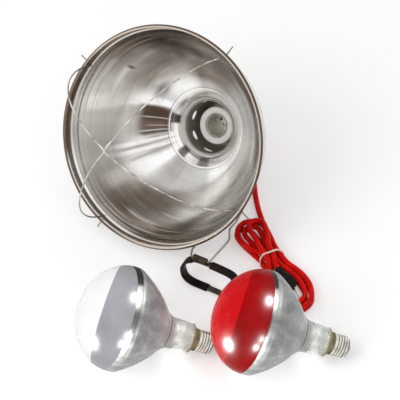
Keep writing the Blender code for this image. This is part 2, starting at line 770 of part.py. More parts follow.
def collar_screw():
    grip = collar_slot / 2 + strap_wall + gap
    head = collar_screw_radius * 1.9
    tip = -grip - strap_wall * 3
    profile = [
        (0, grip + strap_wall * 1.8), (head * 0.7, grip + strap_wall * 1.8), (head, grip + strap_wall),
        (head, grip), (collar_screw_radius, grip), (collar_screw_radius, tip), (0, tip),
    ]
    place = Matrix.Translation((0, collar_inside + collar_screw_out, -collar_start - collar_length / 2))
    lie = Matrix.Rotation(math.pi / 2, 4, "Y")
    return finish(turned("collar_screw", profile, 12, False), "steel", LAMP @ place @ lie, ROOT)


def collar_nut():
    grip = collar_slot / 2 + strap_wall + gap
    across = collar_screw_radius * 2.0
    hole = collar_screw_radius + gap
    end = -grip - strap_wall * 2
    profile = [(hole, -grip), (across, -grip), (across, end), (hole, end)]
    place = Matrix.Translation((0, collar_inside + collar_screw_out, -collar_start - collar_length / 2))
    lie = Matrix.Rotation(math.pi / 2, 4, "Y")
    return finish(turned("collar_nut", profile, 6, True), "steel", LAMP @ place @ lie, ROOT)


def lamp_point(sideways, down, depth):
    """A point of the bail, in world space, from the hinge direction, the bail side and the depth."""
    return LAMP @ Vector((sideways, -down, -depth))


def bail():
    bar = clamp_ahead() * crossbar_half
    legs = [(e * rim_radius, d * hinge_depth, u * leg_shift) for e, d, u in leg_shares]
    left = [lamp_point(-u, e, d) for e, d, u in legs]
    right = [lamp_point(u, e, d) for e, d, u in legs]
    points = [lamp_point(-bail_end, 0, hinge_depth)] + left + [left_knee]
    points += [crossbar_centre - bar, crossbar_centre + bar]
    points += [right_knee] + right[::-1] + [lamp_point(bail_end, 0, hinge_depth)]
    leg = [bar_fillet] + [leg_fillet] * 8 + [bar_fillet]
    radii = leg + leg[::-1]
    path = filleted(points, radii, 3)
    return finish(wire("bail", path, bail_radius, 2), "steel", Matrix(), BAIL)


def clamp_ahead():
    return Vector((math.cos(clamp_heading), math.sin(clamp_heading), 0))


def clamp_point(along, height):
    return Vector((crossbar_centre.x, crossbar_centre.y, height)) + clamp_ahead() * along


def clamp_path(shares, count):
    return smooth([clamp_point(s * clamp_length, z * clamp_height) for s, z in shares], count)


def clamp_side():
    return Vector((-math.sin(clamp_heading), math.cos(clamp_heading), 0))


def cut_path(path, start, stop):
    """The stretch of a path between two distances along it."""
    result, run = [], 0.0
    for a, b in zip(path, path[1:]):
        step = (b - a).length
        if not result and run + step > start:
            result.append(a.lerp(b, (start - run) / step))
        if result and run + step >= stop:
            result.append(a.lerp(b, (stop - run) / step))
            return result
        if result:
            result.append(b)
        run += step
    return result


def along_of(point):
    return (point - crossbar_centre).dot(clamp_ahead())


def ramp(value, start, stop):
    t = min(max((value - start) / (stop - start), 0.0), 1.0)
    return t * t * (3 - 2 * t)


def upper_strap():
    path = clamp_path(upper_shares, 44)
    section = rectangle(strap_width, strap_thickness)
    widths = []
    for point in path:
        s = along_of(point)
        narrow = ramp(s, jaw_start * 0.62, jaw_start * 0.69) - ramp(s, jaw_start * 0.86, jaw_start * 0.93)
        widths.append(1.0 + (neck_width / strap_width - 1.0) * narrow)
    obj = swept("clamp_upper_strap", path, clamp_side(), section, widths=widths)
    bar = clamp_ahead()
    ends = [crossbar_centre - bar * barrel_half, crossbar_centre + bar * barrel_half]
    barrel = swept("barrel", ends, clamp_side(), oval(barrel_width, barrel_height, 14))
    boolean(obj, barrel, "UNION", Matrix())
    ends = [crossbar_centre - bar * barrel_half * 1.4, crossbar_centre + bar * barrel_half * 1.4]
    boolean(obj, rod("bore", *ends, barrel_bore, 12), "DIFFERENCE", Matrix())
    return finish(obj, "dark_steel", Matrix(), CLAMP)


def lower_strap():
    path = clamp_path(lower_shares, 44)
    section = rectangle(strap_width, strap_thickness)
    widths = []
    for point in path:
        s = along_of(point)
        wide = ramp(s, jaw_start * 0.55, jaw_start * 0.64) - ramp(s, jaw_start * 0.95, jaw_start * 0.99)
        widths.append(1.0 + (window_strap_width / strap_width - 1.0) * wide)
    obj = swept("clamp_lower_strap", path, clamp_side(), section, widths=widths)
    middle = [p for p in path if jaw_start * 0.66 < along_of(p) < jaw_start * 0.94]
    window = swept("window", middle, clamp_side(), rectangle(window_width, strap_thickness * 4))
    boolean(obj, window, "DIFFERENCE", Matrix())
    return finish(obj, "dark_steel", Matrix(), JAW)


def sleeve(name, path, parent):
    hollow = (strap_width + 2 * gap, strap_thickness + 2 * gap)
    whole = (hollow[0] + 2 * sleeve_wall, hollow[1] + 2 * sleeve_wall)
    corner = sleeve_wall
    inner = softened(*hollow, gap)
    obj = swept(name, path, clamp_side(), softened(*whole, corner), inner)
    return finish(obj, "vinyl", Matrix(), parent)


def jaw_tip(name, shares, parent):
    """A moulded cap over a strap's end, closed in front."""
    path = clamp_path(shares, 44)
    tail = [p for p in path if along_of(p) > jaw_start]
    hollow = (strap_width + 2 * gap, strap_thickness + 2 * gap)
    whole = (hollow[0] + 2 * sleeve_wall, hollow[1] + 2 * sleeve_wall)
    bar = clamp_ahead()
    outer_path = tail[:1] + tail[-1:] + [tail[-1] + bar * (gap + sleeve_wall)]
    obj = swept(name, outer_path, clamp_side(), softened(*whole, sleeve_wall))
    inner_path = [tail[0] - bar * sleeve_wall, tail[-1] + bar * gap]
    cutter = swept(name + "_hollow", inner_path, clamp_side(), rectangle(*hollow))
    boolean(obj, cutter, "DIFFERENCE", Matrix())
    return finish(obj, "vinyl", Matrix(), parent)


def strain_relief():
    profile = [(0, relief_out)]
    for share, radius in relief_shares[::-1]:
        profile.append((radius * relief_radius, share * relief_out))
    profile.append((0, relief_shares[0][0] * relief_out))
    out = LAMP.to_3x3() @ around(1.0, exit_turn, 0)
    turn = out.to_track_quat("Z", "Y").to_matrix().to_4x4()
    place = Matrix.Translation(LAMP @ Vector((0, 0, -exit_depth))) @ turn
    return finish(turned("strain_relief", profile, 14, False), "red_cord", place, ROOT)


def hank_place(along, across, height):
    """A point of the hank: its upper and its lower half have headings of their own."""
    heading = upper_heading if along < 0 else lower_heading
    ahead = Vector((math.cos(heading), math.sin(heading), 0))
    right = Vector((math.sin(-heading), math.cos(heading), 0))
    return waist_centre + ahead * along + right * across + Vector((0, 0, height))


def plug_axis():
    level = math.cos(plug_dip)
    return Vector((level * math.cos(plug_heading), level * math.sin(plug_heading), -math.sin(plug_dip)))


def hank_path():
    route = []
    for along, across, layer in hank_route:
        lift = waist_lift * (1 - ramp(abs(along * MM), 0, waist_reach))
        route.append(hank_place(along * MM, across * MM, cord_rest + layer * layer_rise + lift))
    rear = hank_place(plug_rear_along, plug_rear_across, plug_rear_height)
    axis = plug_axis()
    route += [rear - axis * cord_radius * 2.6, rear - axis * gap]
    return smooth(route, hank_steps)


def least_gap(points):
    """The least space between stretches of the cord that aren't neighbours along it."""
    best = 1.0
    fine = spaced(points, len(points) * 4)
    apart = 4 * 4
    for i, a in enumerate(fine):
        for b in fine[i + apart:]:
            best = min(best, (a - b).length)
    return best - 2 * cord_radius


def cord_and_hank():
    hank = hank_path()
    exit_point = LAMP @ around(relief_out + gap, exit_turn, exit_depth)
    out = (LAMP.to_3x3() @ around(1.0, exit_turn, 0)).normalized()
    into = hank[0] - hank[1]
    into.z = 0
    into.normalize()
    meet = hank[0] + into * gap
    route = [exit_point, exit_point + out * cord_radius]
    route += [Vector(p) * MM for p in lead_route]
    route += [meet + into * cord_radius * 2, meet]
    lead = smooth(route, 26)
    print("cord exit", [round(c, 5) for c in exit_point], "lead", round(length_of(lead), 4))
    print("hank", round(length_of(hank), 4), "least gap mm", round(least_gap(hank) / MM, 3))
    print("lead points", [[round(c, 5) for c in p] for p in lead])
    finish(wire("cord", lead, cord_radius, 2), "red_cord", Matrix(), ROOT)
    finish(wire("cord_hank", hank, cord_radius, 1), "red_cord", Matrix(), ROOT)


def hank_tie():
    """One flat band round all the strands at the waist."""
    low = cord_gap + tie_band / 2
    high = cord_rest + waist_lift + 2 * layer_rise + cord_radius + cord_gap + tie_band / 2
    left, right = tie_across
    mid = low + (high - low) * 0.66
    corners = [
        (left + tie_round, low), (right - tie_round, low), (right - tie_round * 0.25, low + tie_round * 0.3),
        (right, low + tie_round), (right, mid - tie_round), (right - tie_round * 0.4, mid),
        (right - tie_round * 2.0, high - tie_round * 0.3), (right - tie_round * 2.8, high),
        (left + tie_round * 1.4, high), (left + tie_round * 0.8, high - tie_round * 0.3),
        (left, mid), (left, low + tie_round), (left + tie_round * 0.25, low + tie_round * 0.3),
    ]
    heading = lower_heading
    side = Vector((math.cos(heading), math.sin(heading), 0))
    path = [hank_place(0.0, q, z) for q, z in corners]
    obj = swept("hank_tie", path, side, rectangle(tie_width, tie_band), closed=True)
    return finish(obj, "tie", Matrix(), ROOT)


def plug_frame():
    """Its axis forward, its width level and its height nearly upright, from its rear end."""
    axis = plug_axis()
    side = axis.cross(Vector((0, 0, 1))).normalized()
    rear = hank_place(plug_rear_along, plug_rear_across, plug_rear_height)
    return rear, axis, side, side.cross(axis)


def plug_body():
    rear, axis, side, up = plug_frame()
    vertices, faces, sides = [], [], 8
    for share, wide, tall in plug_shares:
        section = softened(plug_width * wide, plug_height * tall, plug_height * tall * 0.22)
        vertices += [rear + axis * (plug_length * share) + side * x + up * y for x, y in section]
    for i in range(len(plug_shares) - 1):
        for k in range(sides):
            n = (k + 1) % sides
            faces.append((i * sides + k, i * sides + n, (i + 1) * sides + n, (i + 1) * sides + k))
    faces += [tuple(range(sides)), tuple((len(plug_shares) - 1) * sides + k for k in range(sides))]
    return finish(mesh_object("plug_body", vertices, faces), "vinyl", Matrix(), ROOT)


def plug_blade(name, hand):
    rear, axis, side, up = plug_frame()
    base = rear + axis * (plug_length + gap) + side * (hand * blade_spacing / 2)
    stations = [(0.0, 1.0), (0.88, 1.0), (1.0, 0.6)]
    path = [base + axis * (blade_length * share) for share, _ in stations]
    widths = [width for _, width in stations]
    obj = swept(name, path, up, rectangle(blade_width, blade_thickness), widths=widths)
    return finish(obj, "steel", Matrix(), ROOT)


def clear_bulb_place():
    """The clear bulb's base ends a little short of the red bulb's face at that height."""
    level, rise = math.cos(bulb_tilt), math.sin(bulb_tilt)
    drop = -contact_end * rise
    a = (level / dome_height) ** 2 + (rise / bulb_radius) ** 2
    b = drop * rise * level * (bulb_radius ** -2 - dome_height ** -2)
    c = (drop * rise / dome_height) ** 2 + ((drop * level) ** 2 + bulb_step ** 2) / bulb_radius ** 2 - 1
    face = (-b - math.sqrt(b * b - a * c)) / a
    return (red_bulb_place[0] + face - bulb_apart - contact_end * level, red_bulb_place[1] + bulb_step)


def bulb_side():
    """The bulb's outer side from its widest ring to the end of its neck, as (radius, depth)."""
    return [(neck_end + r * (bulb_radius - neck_end), d * bulb_back) for d, r in bulb_shares]


def bulb_frame(place):
    """Up along the bulb's axis out of its face, resting with its widest ring on the floor."""
    out = Vector((-math.cos(bulb_tilt), 0, math.sin(bulb_tilt)))
    low = max(
        math.sin(bulb_tilt) * depth + math.cos(bulb_tilt) * radius
        for radius, depth in bulb_side()
    )
    turn = out.to_track_quat("Z", "Y").to_matrix().to_4x4()
    return Matrix.Translation((*place, low + bulb_rest)) @ turn


def envelope(name, look, frame, parent):
    dome = []
    for i in range(dome_rows):
        angle = math.pi / 2 * (1 - i / dome_rows)
        dome.append((bulb_radius * math.cos(angle), dome_height * math.sin(angle)))
    dome[0] = (0.0, dome_height)
    back = [(r, -d) for r, d in bulb_side()]
    outside = dome + back
    inside = inset(outside, glass_wall)
    inside[0] = (0.0, dome_height - glass_wall)
    inside[-1] = (outside[-1][0] - glass_wall, outside[-1][1])
    inside = [p for i, p in enumerate(inside) if i not in (1, 3, 5, 15)]
    return finish(turned(name, outside + inside[::-1], bulb_steps, False), look, frame, parent)


def bulb_base(name, frame, parent):
    root = base_radius
    pitch = (base_end - base_start) / (base_turns + 0.5)
    outside = [(root, -base_start)] + zigzag(root, thread_height, base_start + pitch / 4, pitch, base_turns)
    outside.append((root * 0.93, -base_end))
    inner = root - shell_wall
    inside = [(inner, -base_start), (inner, -base_end + pitch / 2), (root * 0.93 - shell_wall, -base_end)]
    return finish(turned(name, outside + inside[::-1], 18, True), "brass", frame, parent)


def bulb_insulator(name, frame, parent):
    top = base_end + gap
    profile = [
        (0, -top), (base_radius * 0.9, -top), (base_radius * 0.85, -top - (insulator_end - top) * 0.3),
        (contact_radius * 1.1, -insulator_end), (0, -insulator_end),
    ]
    return finish(turned(name, profile, 16, False), "black_glass", frame, parent)


def bulb_contact(name, frame, parent):
    top = insulator_end + gap
    profile = [(0, -top), (contact_radius, -top), (contact_radius * 0.7, -contact_end), (0, -contact_end)]
    return finish(turned(name, profile, 12, False), "brass", frame, parent)


def stem_radius():
    """Of the stem's flared foot, which seats inside the end of the glass neck."""
    return neck_end - glass_wall - gap


def bulb_stem(name, frame, parent):
    side = [(r * stem_radius(), -d * bulb_back) for d, r in stem_shares[::-1]]
    profile = [(0, side[0][1])] + side + [(0, side[-1][1])]
    return finish(turned(name, profile, 12, False), "clear_glass", frame, parent)


def bulb_filament(name, frame, parent):
    top = -stem_shares[-1][0] * bulb_back
    near = stem_radius() * stem_shares[-1][1] * 0.6
    half = [(near, gap + filament_radius), (near * 1.6, filament_half * 0.4), (filament_half, filament_half)]
    route = [Vector((-x, 0, top + z)) for x, z in half]
    route += [Vector((0, 0, top + filament_half * 1.1))]
    route += [Vector((x, 0, top + z)) for x, z in half[::-1]]
    return finish(wire(name, smooth(route, 15), filament_radius, 0), "dark_steel", frame, parent)


def bulb(colour, look, place, parent):
    frame = bulb_frame(place)
    envelope(colour + "_bulb_glass", look, frame, parent)
    bulb_base(colour + "_bulb_base", frame, parent)
    bulb_insulator(colour + "_bulb_insulator", frame, parent)
    bulb_contact(colour + "_bulb_contact", frame, parent)
    bulb_stem(colour + "_bulb_stem", frame, parent)
    bulb_filament(colour + "_bulb_filament", frame, parent)


def settle():
    """Puts the origin under the middle of everything but the cord, on the floor, and prints how far it moved."""
    bpy.context.view_layer.update()
    graph = bpy.context.evaluated_depsgraph_get()
    low, high = Vector((1, 1, 1)), Vector((-1, -1, -1))
    for obj in PARTS.objects:
        if obj.type == "EMPTY" or obj.name in CORD_NODES:
            continue
        evaluated = obj.evaluated_get(graph)
        mesh = evaluated.to_mesh()
        for vertex in mesh.vertices:
            place = evaluated.matrix_world @ vertex.co
            low = Vector(map(min, low, place))
            high = Vector(map(max, high, place))
        evaluated.to_mesh_clear()
    shift = Vector((-(low.x + high.x) / 2, -(low.y + high.y) / 2, -low.z))
    ROOT_EMPTY.location = ROOT_EMPTY.location + shift
    print("shift", [round(c, 6) for c in shift], "size", [round(c, 5) for c in high - low])
    bpy.context.view_layer.update()
    for obj in PARTS.objects:
        if obj.type == "EMPTY":
            print(obj.name, [round(c, 6) for c in obj.matrix_world.translation])


CORD_NODES = ("cord", "cord_hank", "hank_tie", "plug_body", "plug_blade_left", "plug_blade_right")

for old in list(bpy.data.objects):
    bpy.data.objects.remove(old)
PARTS = collection("brooder_heat_lamp")
CUTTERS = collection("cutters", hidden=True)
LAMP = lamp_frame()
ROOT_EMPTY = empty("lamp_place", Vector((0, 0, 0)), None)
ROOT = empty("lamp_body", LAMP.translation, ROOT_EMPTY)
BAIL = empty("bail_hinge", LAMP @ Vector((0, 0, -hinge_depth)), ROOT_EMPTY)
CLAMP = empty("clamp_swivel", crossbar_centre, ROOT_EMPTY)
JAW = empty("clamp_squeeze", clamp_point(squeeze_along, squeeze_height), ROOT_EMPTY)
RED = empty("red_bulb_seat", bulb_frame(red_bulb_place).translation, ROOT_EMPTY)
CLEAR = empty("clear_bulb_seat", bulb_frame(clear_bulb_place()).translation, ROOT_EMPTY)

reflector()
socket_housing()
socket_porcelain()
screw_shell()
shell_rivet("shell_rivet_upper", rivet_turn)
shell_rivet("shell_rivet_lower", rivet_turn + math.pi)
centre_contact()
mounting_screw()
terminal_screw("terminal_screw_right", terminal_turns[0])
terminal_screw("terminal_screw_left", terminal_turns[1])
conductor("conductor_right", terminal_turns[0], 1)
conductor("conductor_left", terminal_turns[1], -1)
guard_wire("guard_wire_high", guard_turns[0], guard_heights[0])
guard_wire("guard_wire_low", guard_turns[1], guard_heights[1])
pivot_collar()
collar_screw()
collar_nut()
bail()
upper_strap()
lower_strap()
upper_path = clamp_path(upper_shares, 44)
lower_path = clamp_path(lower_shares, 44)
sleeve("sleeve_bow_upper", cut_path(upper_path, 0.0, upper_bow_sleeve), CLAMP)
sleeve("sleeve_bow_lower", cut_path(lower_path, 0.0, lower_bow_sleeve), JAW)
sleeve("sleeve_arm", cut_path(upper_path, *arm_sleeve), CLAMP)
jaw_tip("jaw_tip_lower", upper_shares, CLAMP)
jaw_tip("jaw_tip_upper", lower_shares, JAW)
strain_relief()
cord_and_hank()
hank_tie()
plug_body()
plug_blade("plug_blade_left", -1)
plug_blade("plug_blade_right", 1)
bulb("red", "red_glass", red_bulb_place, RED)
bulb("clear", "frosted_glass", clear_bulb_place(), CLEAR)
settle()
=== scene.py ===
"""Looks of a brooder heat lamp, its tied cord and two reflector bulbs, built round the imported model."""

import math

import bmesh
import bpy
from mathutils import Matrix, Vector

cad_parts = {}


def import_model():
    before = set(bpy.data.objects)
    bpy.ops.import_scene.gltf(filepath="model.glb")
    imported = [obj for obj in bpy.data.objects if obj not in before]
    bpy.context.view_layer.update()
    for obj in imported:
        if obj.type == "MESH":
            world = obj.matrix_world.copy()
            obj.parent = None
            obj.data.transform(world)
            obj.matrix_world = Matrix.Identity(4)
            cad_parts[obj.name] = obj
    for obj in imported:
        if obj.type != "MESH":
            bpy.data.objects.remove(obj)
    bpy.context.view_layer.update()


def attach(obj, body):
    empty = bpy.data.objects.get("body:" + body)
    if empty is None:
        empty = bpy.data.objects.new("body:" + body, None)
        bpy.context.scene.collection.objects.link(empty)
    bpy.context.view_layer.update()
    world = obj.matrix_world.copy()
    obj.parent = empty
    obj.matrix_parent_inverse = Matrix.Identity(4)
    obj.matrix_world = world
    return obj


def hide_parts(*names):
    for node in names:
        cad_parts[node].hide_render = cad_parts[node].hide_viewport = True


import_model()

MM = 0.001
SHIFT = Vector((-7.165, 89.477, -0.017)) * MM
UP = Vector((0, 0, 1))
QUARTER = math.pi / 2

# Fits and walls, as in the solids
gap = 0.3 * MM
cord_gap = 0.4 * MM
bowl_wall = 0.9 * MM
cup_wall = 0.8 * MM
shell_wall = 0.35 * MM
glass_wall = 0.8 * MM
strap_wall = 1.2 * MM
sharp_angle = 38

# Camera: far off with a long lens, looking along +Y and down
camera_elevation = math.radians(50)
camera_distance = 12.0
pixel = 1.19 * MM
frame_pixels = 400
sensor = 36.0

# Where the lamp lies
mouth_heading = math.radians(-126.3)
mouth_tilt = math.radians(36.8)
hinge_roll = math.radians(52.1)
rim_centre = Vector((-52.565, 84.077, 121.128)) * MM

# Reflector
rim_radius = 134.2 * MM
bead_radius = 2.3 * MM
bowl_depth = 122.0 * MM
lip_depth = 131.0 * MM
lip_radius = 33.8 * MM
band_hole_depth = 8.4 * MM
bowl_shares = (
    (0.039, 0.976), (0.098, 0.970), (0.113, 0.952), (0.205, 0.928), (0.303, 0.890),
    (0.402, 0.842), (0.492, 0.792), (0.574, 0.737), (0.656, 0.672), (0.730, 0.601),
    (0.787, 0.5335), (0.832, 0.4657), (0.861, 0.4046), (0.879, 0.345), (0.910, 0.2906),
    (0.943, 0.2683), (0.975, 0.2563),
)
bowl_ridges = ((0.16, 0.45), (0.235, 0.35), (0.33, 0.3), (0.86, 0.2))
ridge_width = 1.1 * MM

# Socket housing and socket
cup_start = 119.0 * MM
cup_radius = lip_radius - bowl_wall - gap
cup_depth = 164.839 * MM
cup_corner_shares = ((0.0, 0.77), (0.08, 0.845), (0.5, 0.95), (1.0, 1.0))
cup_corner = 8.0 * MM
vent_depth = 137.2 * MM
vent_length = 12.0 * MM
vent_width = 8.0 * MM
vents = 8
vent_turn = math.radians(-4)
exit_depth = 148.0 * MM
exit_turn = math.radians(-80)
exit_hole = 5.3 * MM
rear_hole = 2.2 * MM
face_depth = 136.0 * MM
flange_back = 144.0 * MM
body_back = 160.0 * MM
flange_radius = 22.5 * MM
body_radius = 18.0 * MM
bore_radius = 14.4 * MM
bore_floor = 158.0 * MM
boss_radius = 8.0 * MM
thread_radius = 13.2 * MM
thread_height = 0.5 * MM
thread_pitch = 3.63 * MM
shell_turns = 5
shell_hole = 4.8 * MM
rivet_offset = 7.0 * MM
rivet_radius = 1.7 * MM
rivet_turn = math.radians(98)
tab_width = 4.2 * MM
tab_thickness = 0.5 * MM
tab_rise = 4.0 * MM
terminal_turns = {"right": math.radians(-35), "left": math.radians(-125)}
terminal_offset = 13.5 * MM
terminal_radius = 3.0 * MM
terminal_height = 1.6 * MM
terminal_edge = 16.5 * MM
conductor_radius = 1.1 * MM

# Guard wires
guard_radius = 0.9 * MM
guard_span = 126.6 * MM
guard_heights = (142.0 * MM, 139.6 * MM)
guard_turns = (math.radians(112.6), math.radians(22.6))
guard_tail = 10.0 * MM
guard_bend = 2.6 * MM
guard_waver = 0.5 * MM
kink_length = 5.5 * MM
kink_height = 1.5 * MM

# Collar and bail
collar_start = 122.6 * MM
collar_length = 8.0 * MM
ear_half = 4.5 * MM
tab_out = 11.0 * MM
slot_half = 1.5 * MM
screw_out = 6.4 * MM
screw_radius = 1.9 * MM
screw_head = 3.61 * MM
screw_thread = 0.18 * MM
nut_radius = 3.8 * MM
hinge_depth = 126.6 * MM
bail_radius = 1.25 * MM
bail_end = 34.7 * MM
leg_stations = (
    (0.0, 126.6, 41.4), (37.0, 117.5, 41.0), (60.0, 104.0, 39.5), (80.5, 88.5, 37.0),
    (101.0, 68.0, 34.0), (115.5, 48.0, 31.6), (127.0, 26.0, 29.5), (133.6, 5.0, 27.9),
)
left_knee = (-10.3, -122.6, 47.5)
right_knee = (35.0, -113.0, 62.0)
crossbar = Vector((0.0, -132.3, 49.0)) * MM + SHIFT
crossbar_half = 11.6 * MM
leg_fillet = 9.0 * MM
bar_fillet = 2.4 * MM

# Clamp: distance along the crossbar's direction, then height, in mm
clamp_heading = math.radians(-28.1)
strap_thickness = 1.4 * MM
strap_width = 8.0 * MM
window_strap_width = 12.4 * MM
neck_width = 5.0 * MM
window_width = 6.4 * MM
sleeve_wall = 0.9 * MM
hollow_size = (strap_width + 2 * gap, strap_thickness + 2 * gap)
sleeve_size = (hollow_size[0] + 2 * sleeve_wall, hollow_size[1] + 2 * sleeve_wall)
upper_route = (
    (-22.6, 21.15), (-22.0, 26.0), (-18.0, 36.0), (-11.0, 42.8), (-3.0, 45.6), (8.0, 46.4), (24.0, 46.4),
    (40.0, 44.8), (46.5, 40.5), (51.5, 31.0), (55.0, 24.6), (60.5, 21.6), (68.0, 21.45), (80.0, 21.45),
)
lower_route = (
    (-22.6, 20.85), (-22.0, 16.0), (-19.0, 8.0), (-12.0, 3.4), (-3.0, 2.4), (14.0, 2.4), (40.0, 2.4),
    (46.5, 6.9), (51.5, 16.0), (55.0, 22.4), (60.5, 25.4), (68.0, 25.55), (80.0, 25.55),
)
barrel_half = 8.9 * MM
barrel_width = 8.5 * MM
barrel_height = 6.5 * MM
barrel_bore = 1.65 * MM
arm_sleeve = (52.0 * MM, 92.0 * MM)
upper_bow_sleeve = 28.5 * MM
lower_bow_sleeve = 45.0 * MM
jaw_start = 67.5 * MM

# Cord
cord_radius = 3.25 * MM
layer_rise = 7.2 * MM
cord_rest = 3.35 * MM
waist_lift = 1.9 * MM
waist_reach = 20.0 * MM
relief_out = 57.0 * MM
relief_radius = 7.0 * MM
relief_shares = (
    (0.51, 0.67), (0.577, 0.67), (0.577, 1.0), (0.617, 1.0), (0.621, 0.83), (0.70, 0.80), (0.705, 0.70),
    (0.74, 0.69), (0.745, 0.77), (0.80, 0.74), (0.805, 0.65), (0.84, 0.64), (0.845, 0.71), (1.0, 0.58),
)
lead_points = 60
cord_points = 620
lead_route = (
    (60.9, 40.0, 7.7), (63.4, 31.0, 5.2), (64.6, 20.0, 3.9), (65.5, 8.0, 3.4), (67.2, -5.0, 3.35),
    (70.0, -20.0, 3.35), (74.2, -36.0, 3.35), (78.9, -53.0, 3.35),
)
waist_centre = Vector((85.0, -99.0, 0.0)) * MM + SHIFT
upper_heading = math.radians(-59.7)
lower_heading = math.radians(-65.5)
outer_lobe = (
    (14.0, 13.7), (26.0, 19.0), (40.0, 23.2), (57.0, 23.6), (74.7, 16.4), (82.0, -1.25), (74.7, -18.9),
    (57.0, -26.1),
)
inner_lobe = (
    (14.0, 5.6), (26.0, 10.8), (40.0, 15.1), (57.0, 15.6), (68.9, 10.7), (73.85, -1.25), (68.9, -13.2),
    (57.0, -18.1), (40.0, -17.6), (26.0, -12.6), (14.0, -6.5), (0.0, -3.65),
)
# Points along and across the hank in mm, then the layer that they lie in
hank_runs = (
    (((-27.0, 13.4), (-20.5, 11.9), (0.0, 11.0)) + outer_lobe + (
        (40.0, -25.8), (26.0, -21.0), (14.0, -14.5), (0.0, -11.0), (-20.0, -12.5), (-38.0, -15.6),
        (-52.0, -16.0), (-58.7, -13.2), (-61.5, -6.5), (-58.7, 0.2), (-52.0, 3.0), (-36.0, 3.6),
        (-18.0, 3.5), (0.0, 3.65),
    ) + inner_lobe + ((-14.0, -3.9),), 0),
    (((-28.0, -6.0),), 0.35),
    (((-38.0, -8.6),), 0.85),
    ((
        (-46.0, -9.5), (-52.7, -6.7), (-55.5, 0.0), (-52.7, 6.7), (-46.0, 9.5), (-32.0, 7.2), (-16.0, 4.3),
        (0.0, 3.65),
    ) + inner_lobe + (
        (-10.0, -5.6), (-22.0, -12.4), (-34.0, -16.8), (-46.5, -17.3), (-58.6, -12.2), (-63.8, 0.0),
        (-58.6, 12.2), (-46.5, 17.3), (-30.0, 15.4), (-14.0, 12.2), (0.0, 11.0),
    ) + outer_lobe, 1),
    (((46.0, -24.6),), 1.5),
    (((36.0, -21.6),), 1.95),
    ((
        (24.0, -15.0), (12.0, -9.6), (0.0, -7.2), (-16.0, -6.2), (-32.0, -4.2), (-46.0, -3.0), (-52.7, -0.2),
        (-55.5, 6.5), (-52.7, 13.2), (-46.0, 16.0), (-30.0, 11.4), (-14.0, 4.2), (0.0, 1.0),
    ), 2),
)
hank_points = 420
tie_across = (-15.3 * MM, 15.3 * MM)
tie_thickness = 1.0 * MM
tie_width = 2.2 * MM
tie_corner = 3.6 * MM

# Plug
plug_heading = math.radians(-63)
plug_dip = math.radians(13)
plug_rear = (21.0 * MM, -2.0 * MM, 16.4 * MM)
plug_length = 31.0 * MM
plug_width = 19.0 * MM
plug_height = 15.0 * MM
plug_shares = (
    (0.0, 0.40, 0.48), (0.10, 0.43, 0.52), (0.22, 0.47, 0.57), (0.30, 0.58, 0.68), (0.40, 0.74, 0.80),
    (0.54, 0.92, 0.93), (0.62, 0.99, 0.99), (0.72, 1.0, 1.0), (0.90, 1.0, 1.0), (0.965, 0.985, 0.985),
    (1.0, 0.91, 0.90),
)
blade_length = 15.9 * MM
blade_width = 6.35 * MM
blade_thickness = 1.5 * MM
blade_spacing = 12.7 * MM
blade_hole = 1.55 * MM

# Bulbs
bulb_radius = 63.5 * MM
dome_height = 53.0 * MM
bulb_back = 99.0 * MM
bulb_shares = (
    (0.0, 1.0), (0.08, 0.976), (0.2525, 0.803), (0.414, 0.583), (0.515, 0.402), (0.606, 0.307),
    (0.707, 0.296), (0.838, 0.285), (0.889, 0.276), (0.94, 0.192), (1.0, 0.186),
)
bulb_tilt = math.radians(24)
silver_end = 66.0 * MM
base_start = 94.6 * MM
cement_start = base_start - 9.0 * MM
base_turns = 5
base_radius = 13.0 * MM
red_face_end = 5.8 * MM
clear_face_end = 6.5 * MM
base_end = 113.0 * MM
insulator_end = 117.0 * MM
contact_radius = 4.6 * MM
contact_end = 119.0 * MM
stem_shares = ((0.50, 0.2), (0.56, 0.2), (0.72, 0.33), (0.90, 0.5), (0.93, 1.0), (1.0, 1.0))
filament_half = 8.0 * MM
red_bulb_seat = Vector((59.835, -148.023, 60.022)) * MM
clear_bulb_seat = Vector((-99.180, -142.523, 60.022)) * MM


def ramp(value, start, stop):
    """A smooth step from 0 to 1."""
    t = min(max((value - start) / (stop - start), 0.0), 1.0)
    return t * t * (3 - 2 * t)


def smooth(route, count):
    """Points spaced evenly along a smooth curve through the route."""
    ends = [2 * route[0] - route[1]] + list(route) + [2 * route[-1] - route[-2]]
    fine = [route[0]]
    for a, b, c, d in zip(ends, ends[1:], ends[2:], ends[3:]):
        for step in range(1, 17):
            t = step / 16
            bend = (2 * a - 5 * b + 4 * c - d) * t**2 + (3 * b - a - 3 * c + d) * t**3
            fine.append(0.5 * (2 * b + (c - a) * t + bend))
    return spaced(fine, count)


def spaced(fine, count):
    """That many points, evenly apart along a line."""
    lengths = [0.0]
    for a, b in zip(fine, fine[1:]):
        lengths.append(lengths[-1] + (b - a).length)
    points = []
    i = 0
    for k in range(count):
        at = lengths[-1] * k / (count - 1)
        while i < len(fine) - 2 and lengths[i + 1] < at:
            i += 1
        share = (at - lengths[i]) / max(lengths[i + 1] - lengths[i], 1e-12)
        points.append(fine[i].lerp(fine[i + 1], min(share, 1.0)))
    return points


def filleted(points, radii, steps=4):
    """A polyline with each inner corner turned into an arc."""
    result = [points[0]]
    for before, corner, after, radius in zip(points, points[1:], points[2:], radii):
        into = (before - corner).normalized()
        out = (after - corner).normalized()
        half = into.angle(out) / 2
        room = min((before - corner).length, (after - corner).length) * 0.45
        reach = min(radius / math.tan(half), room)
        centre = corner + (into + out).normalized() * (reach / math.cos(half))
        start = corner + into * reach - centre
        end = corner + out * reach - centre
        for k in range(steps + 1):
            turn = Matrix.Rotation(start.angle(end) * k / steps, 3, start.cross(end).normalized())
            result.append(centre + turn @ start)
    result.append(points[-1])
    return result


